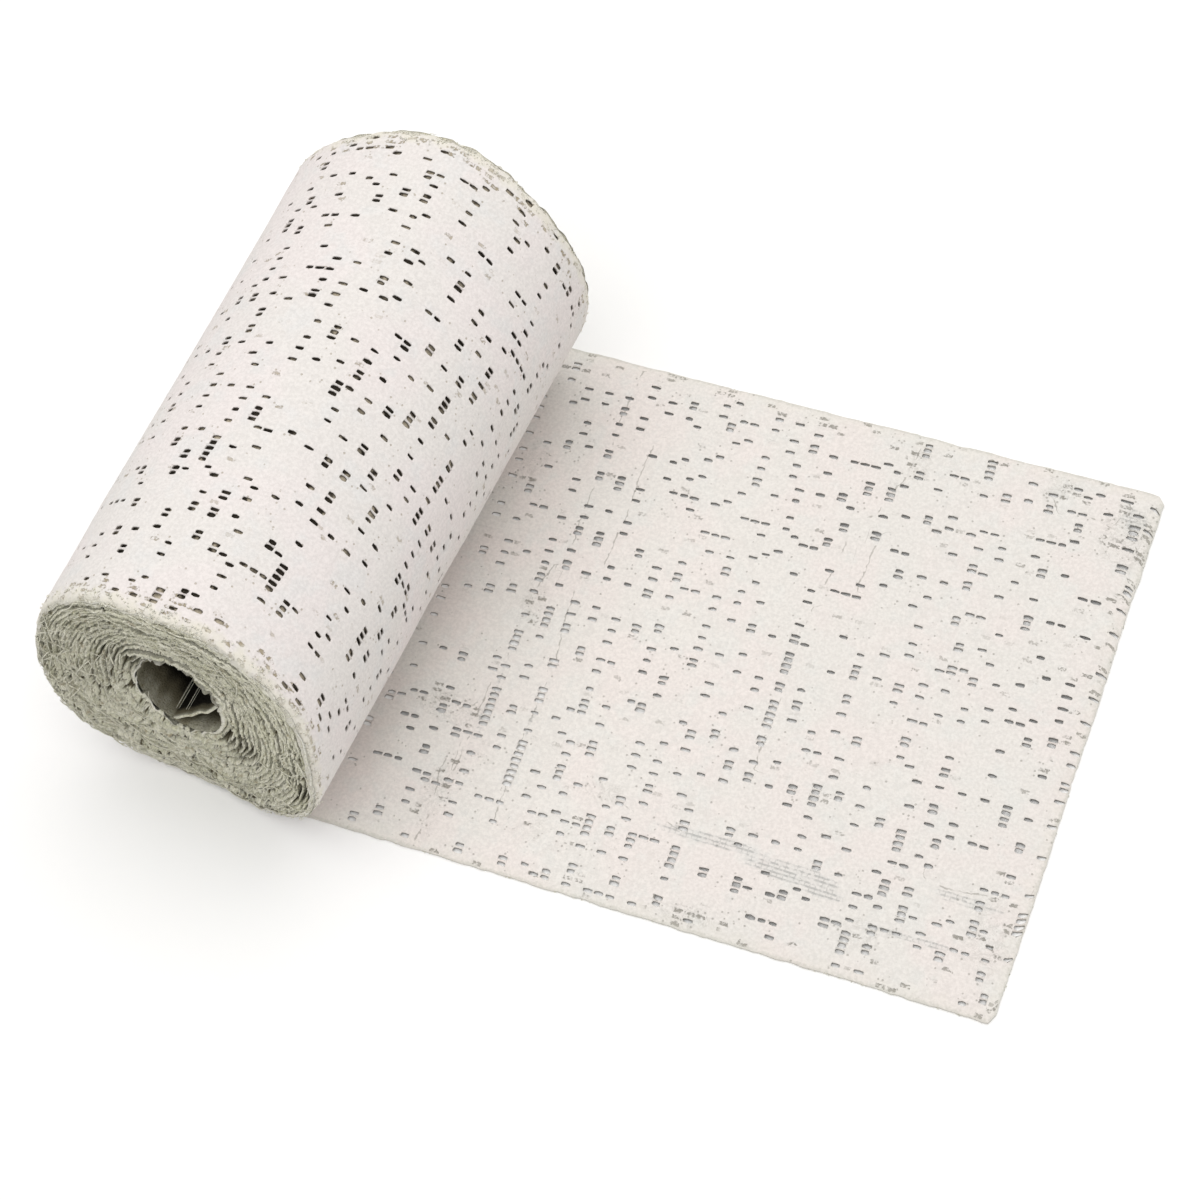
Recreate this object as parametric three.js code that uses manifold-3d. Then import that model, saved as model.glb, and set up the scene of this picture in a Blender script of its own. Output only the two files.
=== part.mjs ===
// A plaster bandage roll: one strip of gauze filled with plaster, wound on itself round an open core,
// with its loose end laid out flat. Sizes are in millimetres and +Z is up. The roll lies along Y on
// its small flat spot, and the loose end leaves from under it towards +X.

import * as THREE from "three";
import { mergeVertices } from "three/addons/utils/BufferGeometryUtils.js";
import Module from "manifold-3d";

// Driving dimensions of the strip and its roll
const STRIP_WIDTH = 100;
const SHEET_THICKNESS = 1.2;
const FRONT_RADIUS = 27.6;
const BACK_RADIUS = 28.4;
const FLAT_SPOT_SINK = 0.35;
const EDGE_WEAR = 1.3;
const EDGE_ROUND = { inset: 0.35 * EDGE_WEAR, shift: 0.3 * EDGE_WEAR };

// The open core, an upright oval, and the strip's inner end that crosses it
const CORE = { x: -1, lift: 1.2, halfWidth: 8, halfHeight: 10.5 };
const TONGUE_THICKNESS = 0.9;
const TONGUE_INSET = 1.5;
const TONGUE_CURVE = [
  { x: -4.6, z: -10.4 },
  { x: -0.6, z: -8.3 },
  { x: 3.4, z: -5.6 },
  { x: 6.2, z: -2.8 },
  { x: 8.4, z: 0.4 },
];

// The loose end, seen from above
const LOOSE_LENGTH = 137;
const LOOSE_WIDTH = 100.6;
const LOOSE_TURN_DEG = 4.6;
const LOOSE_FRONT = -0.7;
const LOOSE_START_X = -3;
const CORNER_RADIUS = 4;
const SELVAGE_DROP = 0.25;
const SELVAGE_BAND = 2;
const GRID_STEP = 6.5;

// How the roll's rim departs from a true cylinder, every 30 degrees from +X towards +Z:
// the radius, and how far the front and back edges of the strip stand along +Y
const RIM = [
  { angle: 0, radius: -0.1, front: -3.0, back: -1.6 },
  { angle: 30, radius: 0.2, front: 1.2, back: -0.9 },
  { angle: 60, radius: -0.1, front: 3.4, back: 1.1 },
  { angle: 90, radius: 0.0, front: 3.2, back: 1.1 },
  { angle: 120, radius: 0.3, front: 3.1, back: -2.0 },
  { angle: 150, radius: -0.2, front: 2.3, back: -3.2 },
  { angle: 180, radius: -0.3, front: -0.1, back: -0.6 },
  { angle: 210, radius: 0.3, front: -1.6, back: 1.2 },
  { angle: 240, radius: 0.1, front: -0.7, back: 1.3 },
  { angle: 270, radius: -0.1, front: 0.0, back: 0.3 },
  { angle: 300, radius: 0.1, front: -2.2, back: -1.2 },
  { angle: 330, radius: -0.1, front: -3.6, back: -1.8 },
];

// Soft lengthwise ridges where the wound turns have set in flats
const RIDGES = [
  { angle: 74, width: 11, height: 0.45 },
  { angle: 18, width: 13, height: 0.3 },
  { angle: 142, width: 14, height: 0.3 },
];

// The wound end faces: how far the turns stand proud or sit back, from the core to the rim
const TURNS = [
  { proud: -0.9 },
  { proud: 0.7 },
  { proud: -0.3 },
  { proud: 0.5 },
  { proud: 0.1 },
  { proud: 0.6 },
  { proud: -0.1 },
];
const TURN_RELIEF = 0.55;
const CORE_SET_BACK = 2.4;
const CORE_LEAN = 0.8;
const RELIEF_FADE = 0.07;

// Cross creases pressed into the loose end's upper face, in the strip's own length and width
const CREASES = [
  { length: 44, width: 96, toLength: 50, toWidth: 62, depth: 0.3 },
  { length: 37, width: 58, toLength: 43, toWidth: 14, depth: 0.3 },
  { length: 93, width: 98, toLength: 86, toWidth: 54, depth: 0.35 },
  { length: 81, width: 44, toLength: 85, toWidth: 27, depth: 0.25 },
];
const CREASE_HALF_WIDTH = 3.5;

// Mesh fineness
const SECTORS = 72;
const WALL_STATIONS = [0.04, 0.19, 0.35, 0.5, 0.65, 0.81, 0.96];
const BORE_STATIONS = [0.2, 0.5, 0.8];
const TONGUE_STEPS = 10;
const CORNER_STEPS = [0.5, 0.85, 1];

const FULL_TURN = Math.PI * 2;
const radians = THREE.MathUtils.degToRad;
const lerp = THREE.MathUtils.lerp;
const clamp = THREE.MathUtils.clamp;

// One column of the rim table at any angle, with smooth cubic joins between its rows
function rimValue(column, angle) {
  const place = (THREE.MathUtils.euclideanModulo(angle, FULL_TURN) / FULL_TURN) * RIM.length;
  const row = Math.floor(place);
  const s = place - row;
  const [a, b, c, d] = [-1, 0, 1, 2].map((k) => RIM[(row + k + RIM.length) % RIM.length][column]);
  return b + 0.5 * s * (c - a + s * (2 * a - 5 * b + 4 * c - d + s * (3 * (b - c) + d - a)));
}

function ridgeHeight(angle) {
  let height = 0;
  for (const ridge of RIDGES) {
    const away = THREE.MathUtils.euclideanModulo(angle - radians(ridge.angle) + Math.PI, FULL_TURN) - Math.PI;
    height += ridge.height * Math.exp(-((away / radians(ridge.width)) ** 2));
  }
  return height;
}

// A point of the roll's round outside, inset towards its axis; along runs from 0 at the front to 1
function rollPoint(angle, along, inset) {
  const radius = lerp(FRONT_RADIUS, BACK_RADIUS, along);
  const reach = radius + rimValue("radius", angle) + ridgeHeight(angle) - inset;
  const axisHeight = radius - FLAT_SPOT_SINK;
  const front = rimValue("front", angle);
  const back = STRIP_WIDTH + rimValue("back", angle);
  return {
    x: reach * Math.cos(angle),
    y: lerp(front, back, along),
    z: Math.max(0, axisHeight + reach * Math.sin(angle)),
  };
}

function corePoint(angle, along) {
  const height = lerp(FRONT_RADIUS, BACK_RADIUS, along) - FLAT_SPOT_SINK + CORE.lift;
  const setBack = CORE_SET_BACK + CORE_LEAN * Math.sin(angle);
  return {
    x: CORE.x + CORE.halfWidth * Math.cos(angle),
    y: lerp(setBack, STRIP_WIDTH - setBack, along),
    z: height + CORE.halfHeight * Math.sin(angle),
  };
}

function turnProud(place) {
  const turn = place * (TURNS.length - 1);
  const row = Math.min(Math.floor(turn), TURNS.length - 2);
  return lerp(TURNS[row].proud, TURNS[row + 1].proud, turn - row);
}

// A point of an end face, from the core to the rim. Lines are crests and troughs in turn, and each
// winds outwards with the spiral, by two lines a turn, so that a crest runs on into the next crest.
function facePoint(angle, along, outward, line) {
  const place = clamp((line - 2 + (2 * angle) / FULL_TURN) / (2 * TURNS.length), 0, 1);
  const inner = corePoint(angle, along);
  const outer = rollPoint(angle, along, EDGE_WEAR);
  const fade = clamp(Math.min(place, 1 - place) / RELIEF_FADE, 0, 1);
  const relief = turnProud(place) + (line % 2 === 0 ? TURN_RELIEF : -TURN_RELIEF);
  return [
    lerp(inner.x, outer.x, place),
    lerp(inner.y, outer.y, place) + outward * relief * fade,
    lerp(inner.z, outer.z, place),
  ];
}

// The closed loop of points, at one angle, round the wound body: front face, wall, back face and bore
function rollSection(angle) {
  const lastLine = 2 * TURNS.length + 2;
  const section = [];
  for (let line = 0; line <= lastLine; line += 1) section.push(facePoint(angle, 0, -1, line));
  const wall = (along, inset, shift) => {
    const p = rollPoint(angle, along, inset);
    section.push([p.x, p.y + shift, p.z]);
  };
  wall(0, EDGE_ROUND.inset, EDGE_ROUND.shift);
  wall(0, 0, EDGE_WEAR);
  for (const along of WALL_STATIONS) wall(along, 0, 0);
  wall(1, 0, -EDGE_WEAR);
  wall(1, EDGE_ROUND.inset, -EDGE_ROUND.shift);
  for (let line = lastLine; line >= 0; line -= 1) section.push(facePoint(angle, 1, 1, line));
  for (const along of [...BORE_STATIONS].reverse()) {
    const p = corePoint(angle, along);
    section.push([p.x, p.y, p.z]);
  }
  return section;
}

// A surface from closed rings of points, each joined to the next
function joinedRings(rings) {
  const count = rings[0].length;
  const index = [];
  for (let i = 0; i + 1 < rings.length; i += 1) {
    const next = (i + 1) * count;
    for (let j = 0; j < count; j += 1) {
      const a = i * count + j;
      const b = i * count + ((j + 1) % count);
      const c = next + ((j + 1) % count);
      const d = next + j;
      index.push(a, b, c, a, c, d);
    }
  }
  const geometry = new THREE.BufferGeometry();
  geometry.setAttribute("position", new THREE.Float32BufferAttribute(rings.flat(2), 3));
  geometry.setIndex(index);
  return geometry;
}

// The last section meets the first after a full turn, each spiral line on the next one out
function woundBody() {
  const rings = [];
  for (let i = 0; i <= SECTORS; i += 1) rings.push(rollSection((i / SECTORS) * FULL_TURN));
  return joinedRings(rings);
}

// The strip's inner end: a thin curved leaf that runs the length of the bore
function innerEnd() {
  const curve = new THREE.CatmullRomCurve3(TONGUE_CURVE.map((p) => new THREE.Vector3(p.x, p.z, 0)));
  const upper = [];
  const lower = [];
  for (let i = 0; i <= TONGUE_STEPS; i += 1) {
    const point = curve.getPoint(i / TONGUE_STEPS);
    const tangent = curve.getTangent(i / TONGUE_STEPS);
    const side = new THREE.Vector3(-tangent.y, tangent.x, 0).multiplyScalar(TONGUE_THICKNESS / 2);
    upper.push(new THREE.Vector2(point.x + side.x, point.y + side.y));
    lower.unshift(new THREE.Vector2(point.x - side.x, point.y - side.y));
  }
  const length = STRIP_WIDTH - 2 * (CORE_SET_BACK + TONGUE_INSET);
  const shape = new THREE.Shape([...upper, ...lower]);
  const geometry = new THREE.ExtrudeGeometry(shape, { depth: length, bevelEnabled: false });
  geometry.rotateX(Math.PI / 2);
  const height = (FRONT_RADIUS + BACK_RADIUS) / 2 - FLAT_SPOT_SINK + CORE.lift;
  geometry.translate(CORE.x, (STRIP_WIDTH + length) / 2, height);
  return geometry;
}

function creaseDepth(length, width) {
  let depth = 0;
  for (const crease of CREASES) {
    const start = new THREE.Vector2(crease.length, crease.width);
    const run = new THREE.Vector2(crease.toLength, crease.toWidth).sub(start);
    const offset = new THREE.Vector2(length, width).sub(start);
    const along = clamp(offset.dot(run) / run.lengthSq(), 0, 1);
    const away = offset.sub(run.multiplyScalar(along)).length();
    depth += crease.depth * clamp(1 - away / CREASE_HALF_WIDTH, 0, 1);
  }
  return depth;
}

// The loose end: a flat sheet with rounded corners, thinner selvages and pressed cross creases
function looseEnd() {
  const straightEnd = LOOSE_LENGTH - CORNER_RADIUS;
  const evenSteps = Math.round(straightEnd / GRID_STEP);
  const columns = [];
  for (let i = 0; i <= evenSteps; i += 1) columns.push({ even: i / evenSteps, rounded: 0 });
  for (const rounded of CORNER_STEPS) columns.push({ even: 1, rounded });
  const evenRows = Math.round((LOOSE_WIDTH - 2 * SELVAGE_BAND) / GRID_STEP);
  const rows = [0];
  for (let j = 0; j <= evenRows; j += 1) {
    rows.push(lerp(SELVAGE_BAND, LOOSE_WIDTH - SELVAGE_BAND, j / evenRows) / LOOSE_WIDTH);
  }
  rows.push(1);

  const turn = radians(LOOSE_TURN_DEG);
  const point = (column, row, top) => {
    const inset = CORNER_RADIUS * (1 - Math.sqrt(1 - column.rounded ** 2));
    const width = lerp(inset, LOOSE_WIDTH - inset, row);
    const start = (LOOSE_START_X + width * Math.sin(turn)) / Math.cos(turn);
    const length = lerp(start, straightEnd, column.even) + column.rounded * CORNER_RADIUS;
    const edge = row === 0 || row === 1 || column.rounded === 1;
    const height = SHEET_THICKNESS - (edge ? SELVAGE_DROP : creaseDepth(length, width));
    const x = length * Math.cos(turn) - width * Math.sin(turn);
    const y = LOOSE_FRONT + length * Math.sin(turn) + width * Math.cos(turn);
    return [x, y, top ? height : 0];
  };

  const positions = [];
  const index = [];
  const span = rows.length;
  const layer = columns.length * span;
  for (const top of [true, false]) {
    for (const column of columns) {
      for (const row of rows) positions.push(point(column, row, top));
    }
  }
  for (let i = 0; i + 1 < columns.length; i += 1) {
    for (let j = 0; j + 1 < span; j += 1) {
      const a = i * span + j;
      const [b, c, d] = [a + span, a + span + 1, a + 1];
      index.push(a, b, c, a, c, d);
      index.push(layer + a, layer + c, layer + b, layer + a, layer + d, layer + c);
    }
  }
  const wall = (a, b) => index.push(a, layer + a, layer + b, a, layer + b, b);
  for (let i = 0; i + 1 < columns.length; i += 1) {
    wall(i * span, (i + 1) * span);
    wall((i + 2) * span - 1, (i + 1) * span - 1);
  }
  const lastColumn = (columns.length - 1) * span;
  for (let j = 0; j + 1 < span; j += 1) {
    wall(lastColumn + j, lastColumn + j + 1);
    wall(j + 1, j);
  }
  const geometry = new THREE.BufferGeometry();
  geometry.setAttribute("position", new THREE.Float32BufferAttribute(positions.flat(), 3));
  geometry.setIndex(index);
  return geometry;
}

// Joins closed pieces into one solid
async function fuse(pieces) {
  const wasm = await Module();
  wasm.setup();
  const solids = pieces.map((piece) => {
    piece.deleteAttribute("normal");
    piece.deleteAttribute("uv");
    const merged = mergeVertices(piece);
    const corners = merged.index.array;
    const triVerts = [];
    for (let i = 0; i < corners.length; i += 3) {
      const [a, b, c] = corners.subarray(i, i + 3);
      if (a !== b && b !== c && c !== a) triVerts.push(a, b, c);
    }
    return new wasm.Manifold(
      new wasm.Mesh({
        numProp: 3,
        vertProperties: merged.attributes.position.array,
        triVerts: new Uint32Array(triVerts),
      }),
    );
  });
  const mesh = solids.reduce((whole, solid) => whole.add(solid)).getMesh();
  const geometry = new THREE.BufferGeometry();
  geometry.setAttribute("position", new THREE.BufferAttribute(mesh.vertProperties, 3));
  geometry.setIndex(new THREE.BufferAttribute(mesh.triVerts, 1));
  return geometry;
}

const bandageGeometry = await fuse([woundBody(), innerEnd(), looseEnd()]);

// The origin is the middle of the bandage's footprint, on the surface that it rests on
bandageGeometry.computeBoundingBox();
const box = bandageGeometry.boundingBox;
bandageGeometry.translate(-(box.min.x + box.max.x) / 2, -(box.min.y + box.max.y) / 2, -box.min.z);
bandageGeometry.computeVertexNormals();

const plasterGauze = new THREE.MeshStandardMaterial({ color: 0xe9e4dc, roughness: 0.95, metalness: 0 });
const bandage = new THREE.Mesh(bandageGeometry, plasterGauze);
bandage.name = "bandage";

const group = new THREE.Group();
group.add(bandage);

export default group;
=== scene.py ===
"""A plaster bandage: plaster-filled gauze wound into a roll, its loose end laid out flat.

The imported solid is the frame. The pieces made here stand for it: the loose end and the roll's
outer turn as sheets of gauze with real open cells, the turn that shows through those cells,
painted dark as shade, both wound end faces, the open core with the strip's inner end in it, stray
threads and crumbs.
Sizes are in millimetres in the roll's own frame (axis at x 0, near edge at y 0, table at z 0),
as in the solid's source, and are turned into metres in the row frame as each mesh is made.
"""

import math

import bpy
import numpy as np
from mathutils import Matrix, Vector


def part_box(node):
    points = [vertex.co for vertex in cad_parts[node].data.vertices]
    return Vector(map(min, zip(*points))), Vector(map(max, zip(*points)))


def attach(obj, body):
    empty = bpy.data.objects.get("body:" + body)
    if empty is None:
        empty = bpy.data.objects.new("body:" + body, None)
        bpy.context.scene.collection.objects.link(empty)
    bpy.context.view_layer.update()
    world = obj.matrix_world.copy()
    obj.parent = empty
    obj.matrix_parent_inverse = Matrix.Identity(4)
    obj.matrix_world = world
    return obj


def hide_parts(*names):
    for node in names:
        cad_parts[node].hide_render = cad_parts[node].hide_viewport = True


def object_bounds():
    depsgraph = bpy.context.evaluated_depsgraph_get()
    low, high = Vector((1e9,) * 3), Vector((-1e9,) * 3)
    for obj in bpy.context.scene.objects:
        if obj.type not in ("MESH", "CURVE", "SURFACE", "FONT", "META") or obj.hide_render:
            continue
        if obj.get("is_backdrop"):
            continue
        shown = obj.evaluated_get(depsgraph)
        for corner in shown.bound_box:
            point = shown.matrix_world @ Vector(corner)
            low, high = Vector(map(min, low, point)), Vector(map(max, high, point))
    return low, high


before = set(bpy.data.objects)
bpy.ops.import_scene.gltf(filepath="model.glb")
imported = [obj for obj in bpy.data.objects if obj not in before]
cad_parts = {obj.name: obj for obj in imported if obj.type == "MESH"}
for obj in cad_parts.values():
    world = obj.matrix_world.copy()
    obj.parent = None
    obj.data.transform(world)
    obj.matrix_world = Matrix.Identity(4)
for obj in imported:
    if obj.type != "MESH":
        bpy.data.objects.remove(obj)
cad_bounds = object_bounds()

NODE = "bandage"

# The strip and its roll, as in the solid
STRIP_WIDTH = 100.0
FRONT_RADIUS = 27.6
BACK_RADIUS = 28.4
FLAT_SPOT_SINK = 0.35
EDGE_WEAR = 1.3
CORE = {"x": -1.0, "lift": 1.2, "half_width": 8.0, "half_height": 10.5}
CORE_SET_BACK = 2.4
CORE_LEAN = 0.8
TONGUE_CURVE = [(-4.6, -10.4), (-0.6, -8.3), (3.4, -5.6), (6.2, -2.8), (8.4, 0.4)]
LOOSE_LENGTH = 137.0
LOOSE_WIDTH = 100.6
LOOSE_TURN = math.radians(4.6)
LOOSE_FRONT = -0.7
LOOSE_START_X = -3.0
CORNER_RADIUS = 1.6

# The roll's rim every 30 degrees from +X towards +Z: radius, front edge and back edge
RIM = {
    "radius": [-0.1, 0.2, -0.1, 0.0, 0.3, -0.2, -0.3, 0.3, 0.1, -0.1, 0.1, -0.1],
    "front": [-3.0, 1.2, 3.4, 3.2, 3.1, 2.3, -0.1, -1.6, -0.7, 0.0, -2.2, -3.6],
    "back": [-1.6, -0.9, 1.1, 1.1, -2.0, -3.2, -0.6, 1.2, 1.3, 0.3, -1.2, -1.8],
}
# Soft lengthwise ridges: angle and width in degrees, height
RIDGES = [(74, 11, 0.45), (18, 13, 0.3), (142, 14, 0.3)]
# How far the end faces' main turns stand proud, from the core to the rim
TURNS_PROUD = [-0.9, 0.7, -0.3, 0.5, 0.1, 0.6, -0.1]

# The gauze: its cells, its thickness, and how far its cross threads lean on the strip
CELL_LENGTH = 1.95
CELL_WIDTH = 1.16
GAUZE = 0.46
LEAN_LOOSE = math.tan(math.radians(2.0))
LEAN_WOUND = math.tan(math.radians(4.0))
HOLE_LENGTH = 1.76
HOLE_WIDTH = 0.72
ROWS = round(LOOSE_WIDTH / CELL_WIDTH)

# Where the roll's axis and the strip's near edge lie in the row frame
ROLL_LEFT_REACH = 28.1
FRONT_OVERHANG = 3.889
low_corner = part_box(NODE)[0]
ROLL_ORIGIN = np.array(
    [low_corner.x * 1000 + ROLL_LEFT_REACH, low_corner.y * 1000 + FRONT_OVERHANG, 0.0]
)

FULL_TURN = 2 * math.pi


def smooth_step(value):
    t = np.clip(value, 0, 1)
    return t * t * (3 - 2 * t)


def value_noise(points, cell, seed):
    """Smooth noise from -1 to 1 at points in millimetres, with features about cell across."""
    size = 32
    table = np.random.default_rng(seed).uniform(-1, 1, (size, size, size))
    scaled = np.asarray(points, float) / cell
    base = np.floor(scaled).astype(int)
    part = smooth_step(scaled - base)
    total = np.zeros(len(scaled))
    for corner in np.ndindex(2, 2, 2):
        at = (base + corner) % size
        weight = np.prod(np.where(corner, part, 1 - part), axis=1)
        total += weight * table[at[:, 0], at[:, 1], at[:, 2]]
    return total


def rim_value(column, angle):
    """One column of the rim table at any angle, with smooth cubic joins."""
    rows = np.array(RIM[column])
    place = (np.asarray(angle) % FULL_TURN) / FULL_TURN * len(rows)
    row = np.floor(place).astype(int)
    s = place - row
    a, b, c, d = (rows[(row + k) % len(rows)] for k in (-1, 0, 1, 2))
    return b + 0.5 * s * (c - a + s * (2 * a - 5 * b + 4 * c - d + s * (3 * (b - c) + d - a)))


def turned_away(angle, degrees, span):
    """How far an angle is from a place round the roll, in units of a span in degrees."""
    away = (angle - math.radians(degrees) + math.pi) % FULL_TURN - math.pi
    return away / math.radians(span)


def ridge_height(angle):
    height = np.zeros(np.shape(angle))
    for middle, width, rise in RIDGES:
        height = height + rise * np.exp(-(turned_away(angle, middle, width) ** 2))
    return height


def lerp(a, b, share):
    return a + (b - a) * share


def roll_point(angle, along, inset):
    """Points of the roll's round outside, inset towards its axis.

    along is 0 at the front rim and 1 at the back rim.
    """
    radius = lerp(FRONT_RADIUS, BACK_RADIUS, along)
    reach = radius + rim_value("radius", angle) + ridge_height(angle) - inset
    front = rim_value("front", angle)
    back = STRIP_WIDTH + rim_value("back", angle)
    height = radius - FLAT_SPOT_SINK + reach * np.sin(angle)
    return np.stack([reach * np.cos(angle), lerp(front, back, along), height], -1)


def core_height(along):
    """The height of the open core's middle above the table."""
    return lerp(FRONT_RADIUS, BACK_RADIUS, along) - FLAT_SPOT_SINK + CORE["lift"]


def core_point(angle, along):
    set_back = CORE_SET_BACK + CORE_LEAN * np.sin(angle)
    return np.stack(
        [
            CORE["x"] + CORE["half_width"] * np.cos(angle),
            lerp(set_back, STRIP_WIDTH - set_back, along),
            core_height(along) + CORE["half_height"] * np.sin(angle),
        ],
        -1,
    )


# Making meshes


def add_object(name, data):
    item = bpy.data.objects.new(name, data)
    bpy.context.scene.collection.objects.link(item)
    return item


def make_piece(name, points, faces, material, fields=(), sharp=None):
    """A mesh object from points in the roll's frame. fields are named values, one for each point."""
    points = np.asarray(points, float)
    faces = [list(dict.fromkeys(face)) for face in faces]
    faces = [face for face in faces if len(face) > 2]
    used = np.unique(np.concatenate([np.array(face) for face in faces]))
    new_index = np.full(len(points), -1)
    new_index[used] = np.arange(len(used))
    mesh = bpy.data.meshes.new(name)
    metres = (points[used] + ROLL_ORIGIN) / 1000
    mesh.from_pydata(metres.tolist(), [], [[int(new_index[k]) for k in face] for face in faces])
    for field, values in dict(fields).items():
        values = np.asarray(values, float)[used]
        kind = "FLOAT_VECTOR" if values.ndim == 2 else "FLOAT"
        key = "vector" if values.ndim == 2 else "value"
        layer = mesh.attributes.new(field, kind, "POINT")
        layer.data.foreach_set(key, values.astype(np.float32).ravel())
    mesh.shade_smooth()
    if sharp is not None:
        mesh.set_sharp_from_angle(angle=math.radians(sharp))
    mesh.materials.append(material)
    piece = add_object(name, mesh)
    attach(piece, "root")
    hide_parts(NODE)
    return piece


def grid_faces(rows, columns, first=0, flip=False):
    """Quads of a grid of points that is stored row by row."""
    r, c = np.meshgrid(np.arange(rows - 1), np.arange(columns - 1), indexing="ij")
    a = (first + r * columns + c).ravel()
    quads = np.stack([a, a + 1, a + columns + 1, a + columns], -1)
    return (quads[:, ::-1] if flip else quads).tolist()


def joined(parts):
    """The points and faces of several parts as one mesh's."""
    points, faces = [], []
    for part_points, part_faces in parts:
        faces += [[k + len(points) for k in face] for face in part_faces]
        points += part_points
    return points, faces


# Open cells of the gauze

LADDER_LENGTHS = [1, 2, 3, 4]
LADDER_SHARES = [0.68, 0.25, 0.05, 0.02]
STRONG_HEADS = 0.27
AFTER_A_HEAD = 0.45
WEAK_HEADS = 0.035

# A mark gives a cell's middle. This takes it to the number of the cell's row.
MARK_TO_ROW = 0.6
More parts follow.
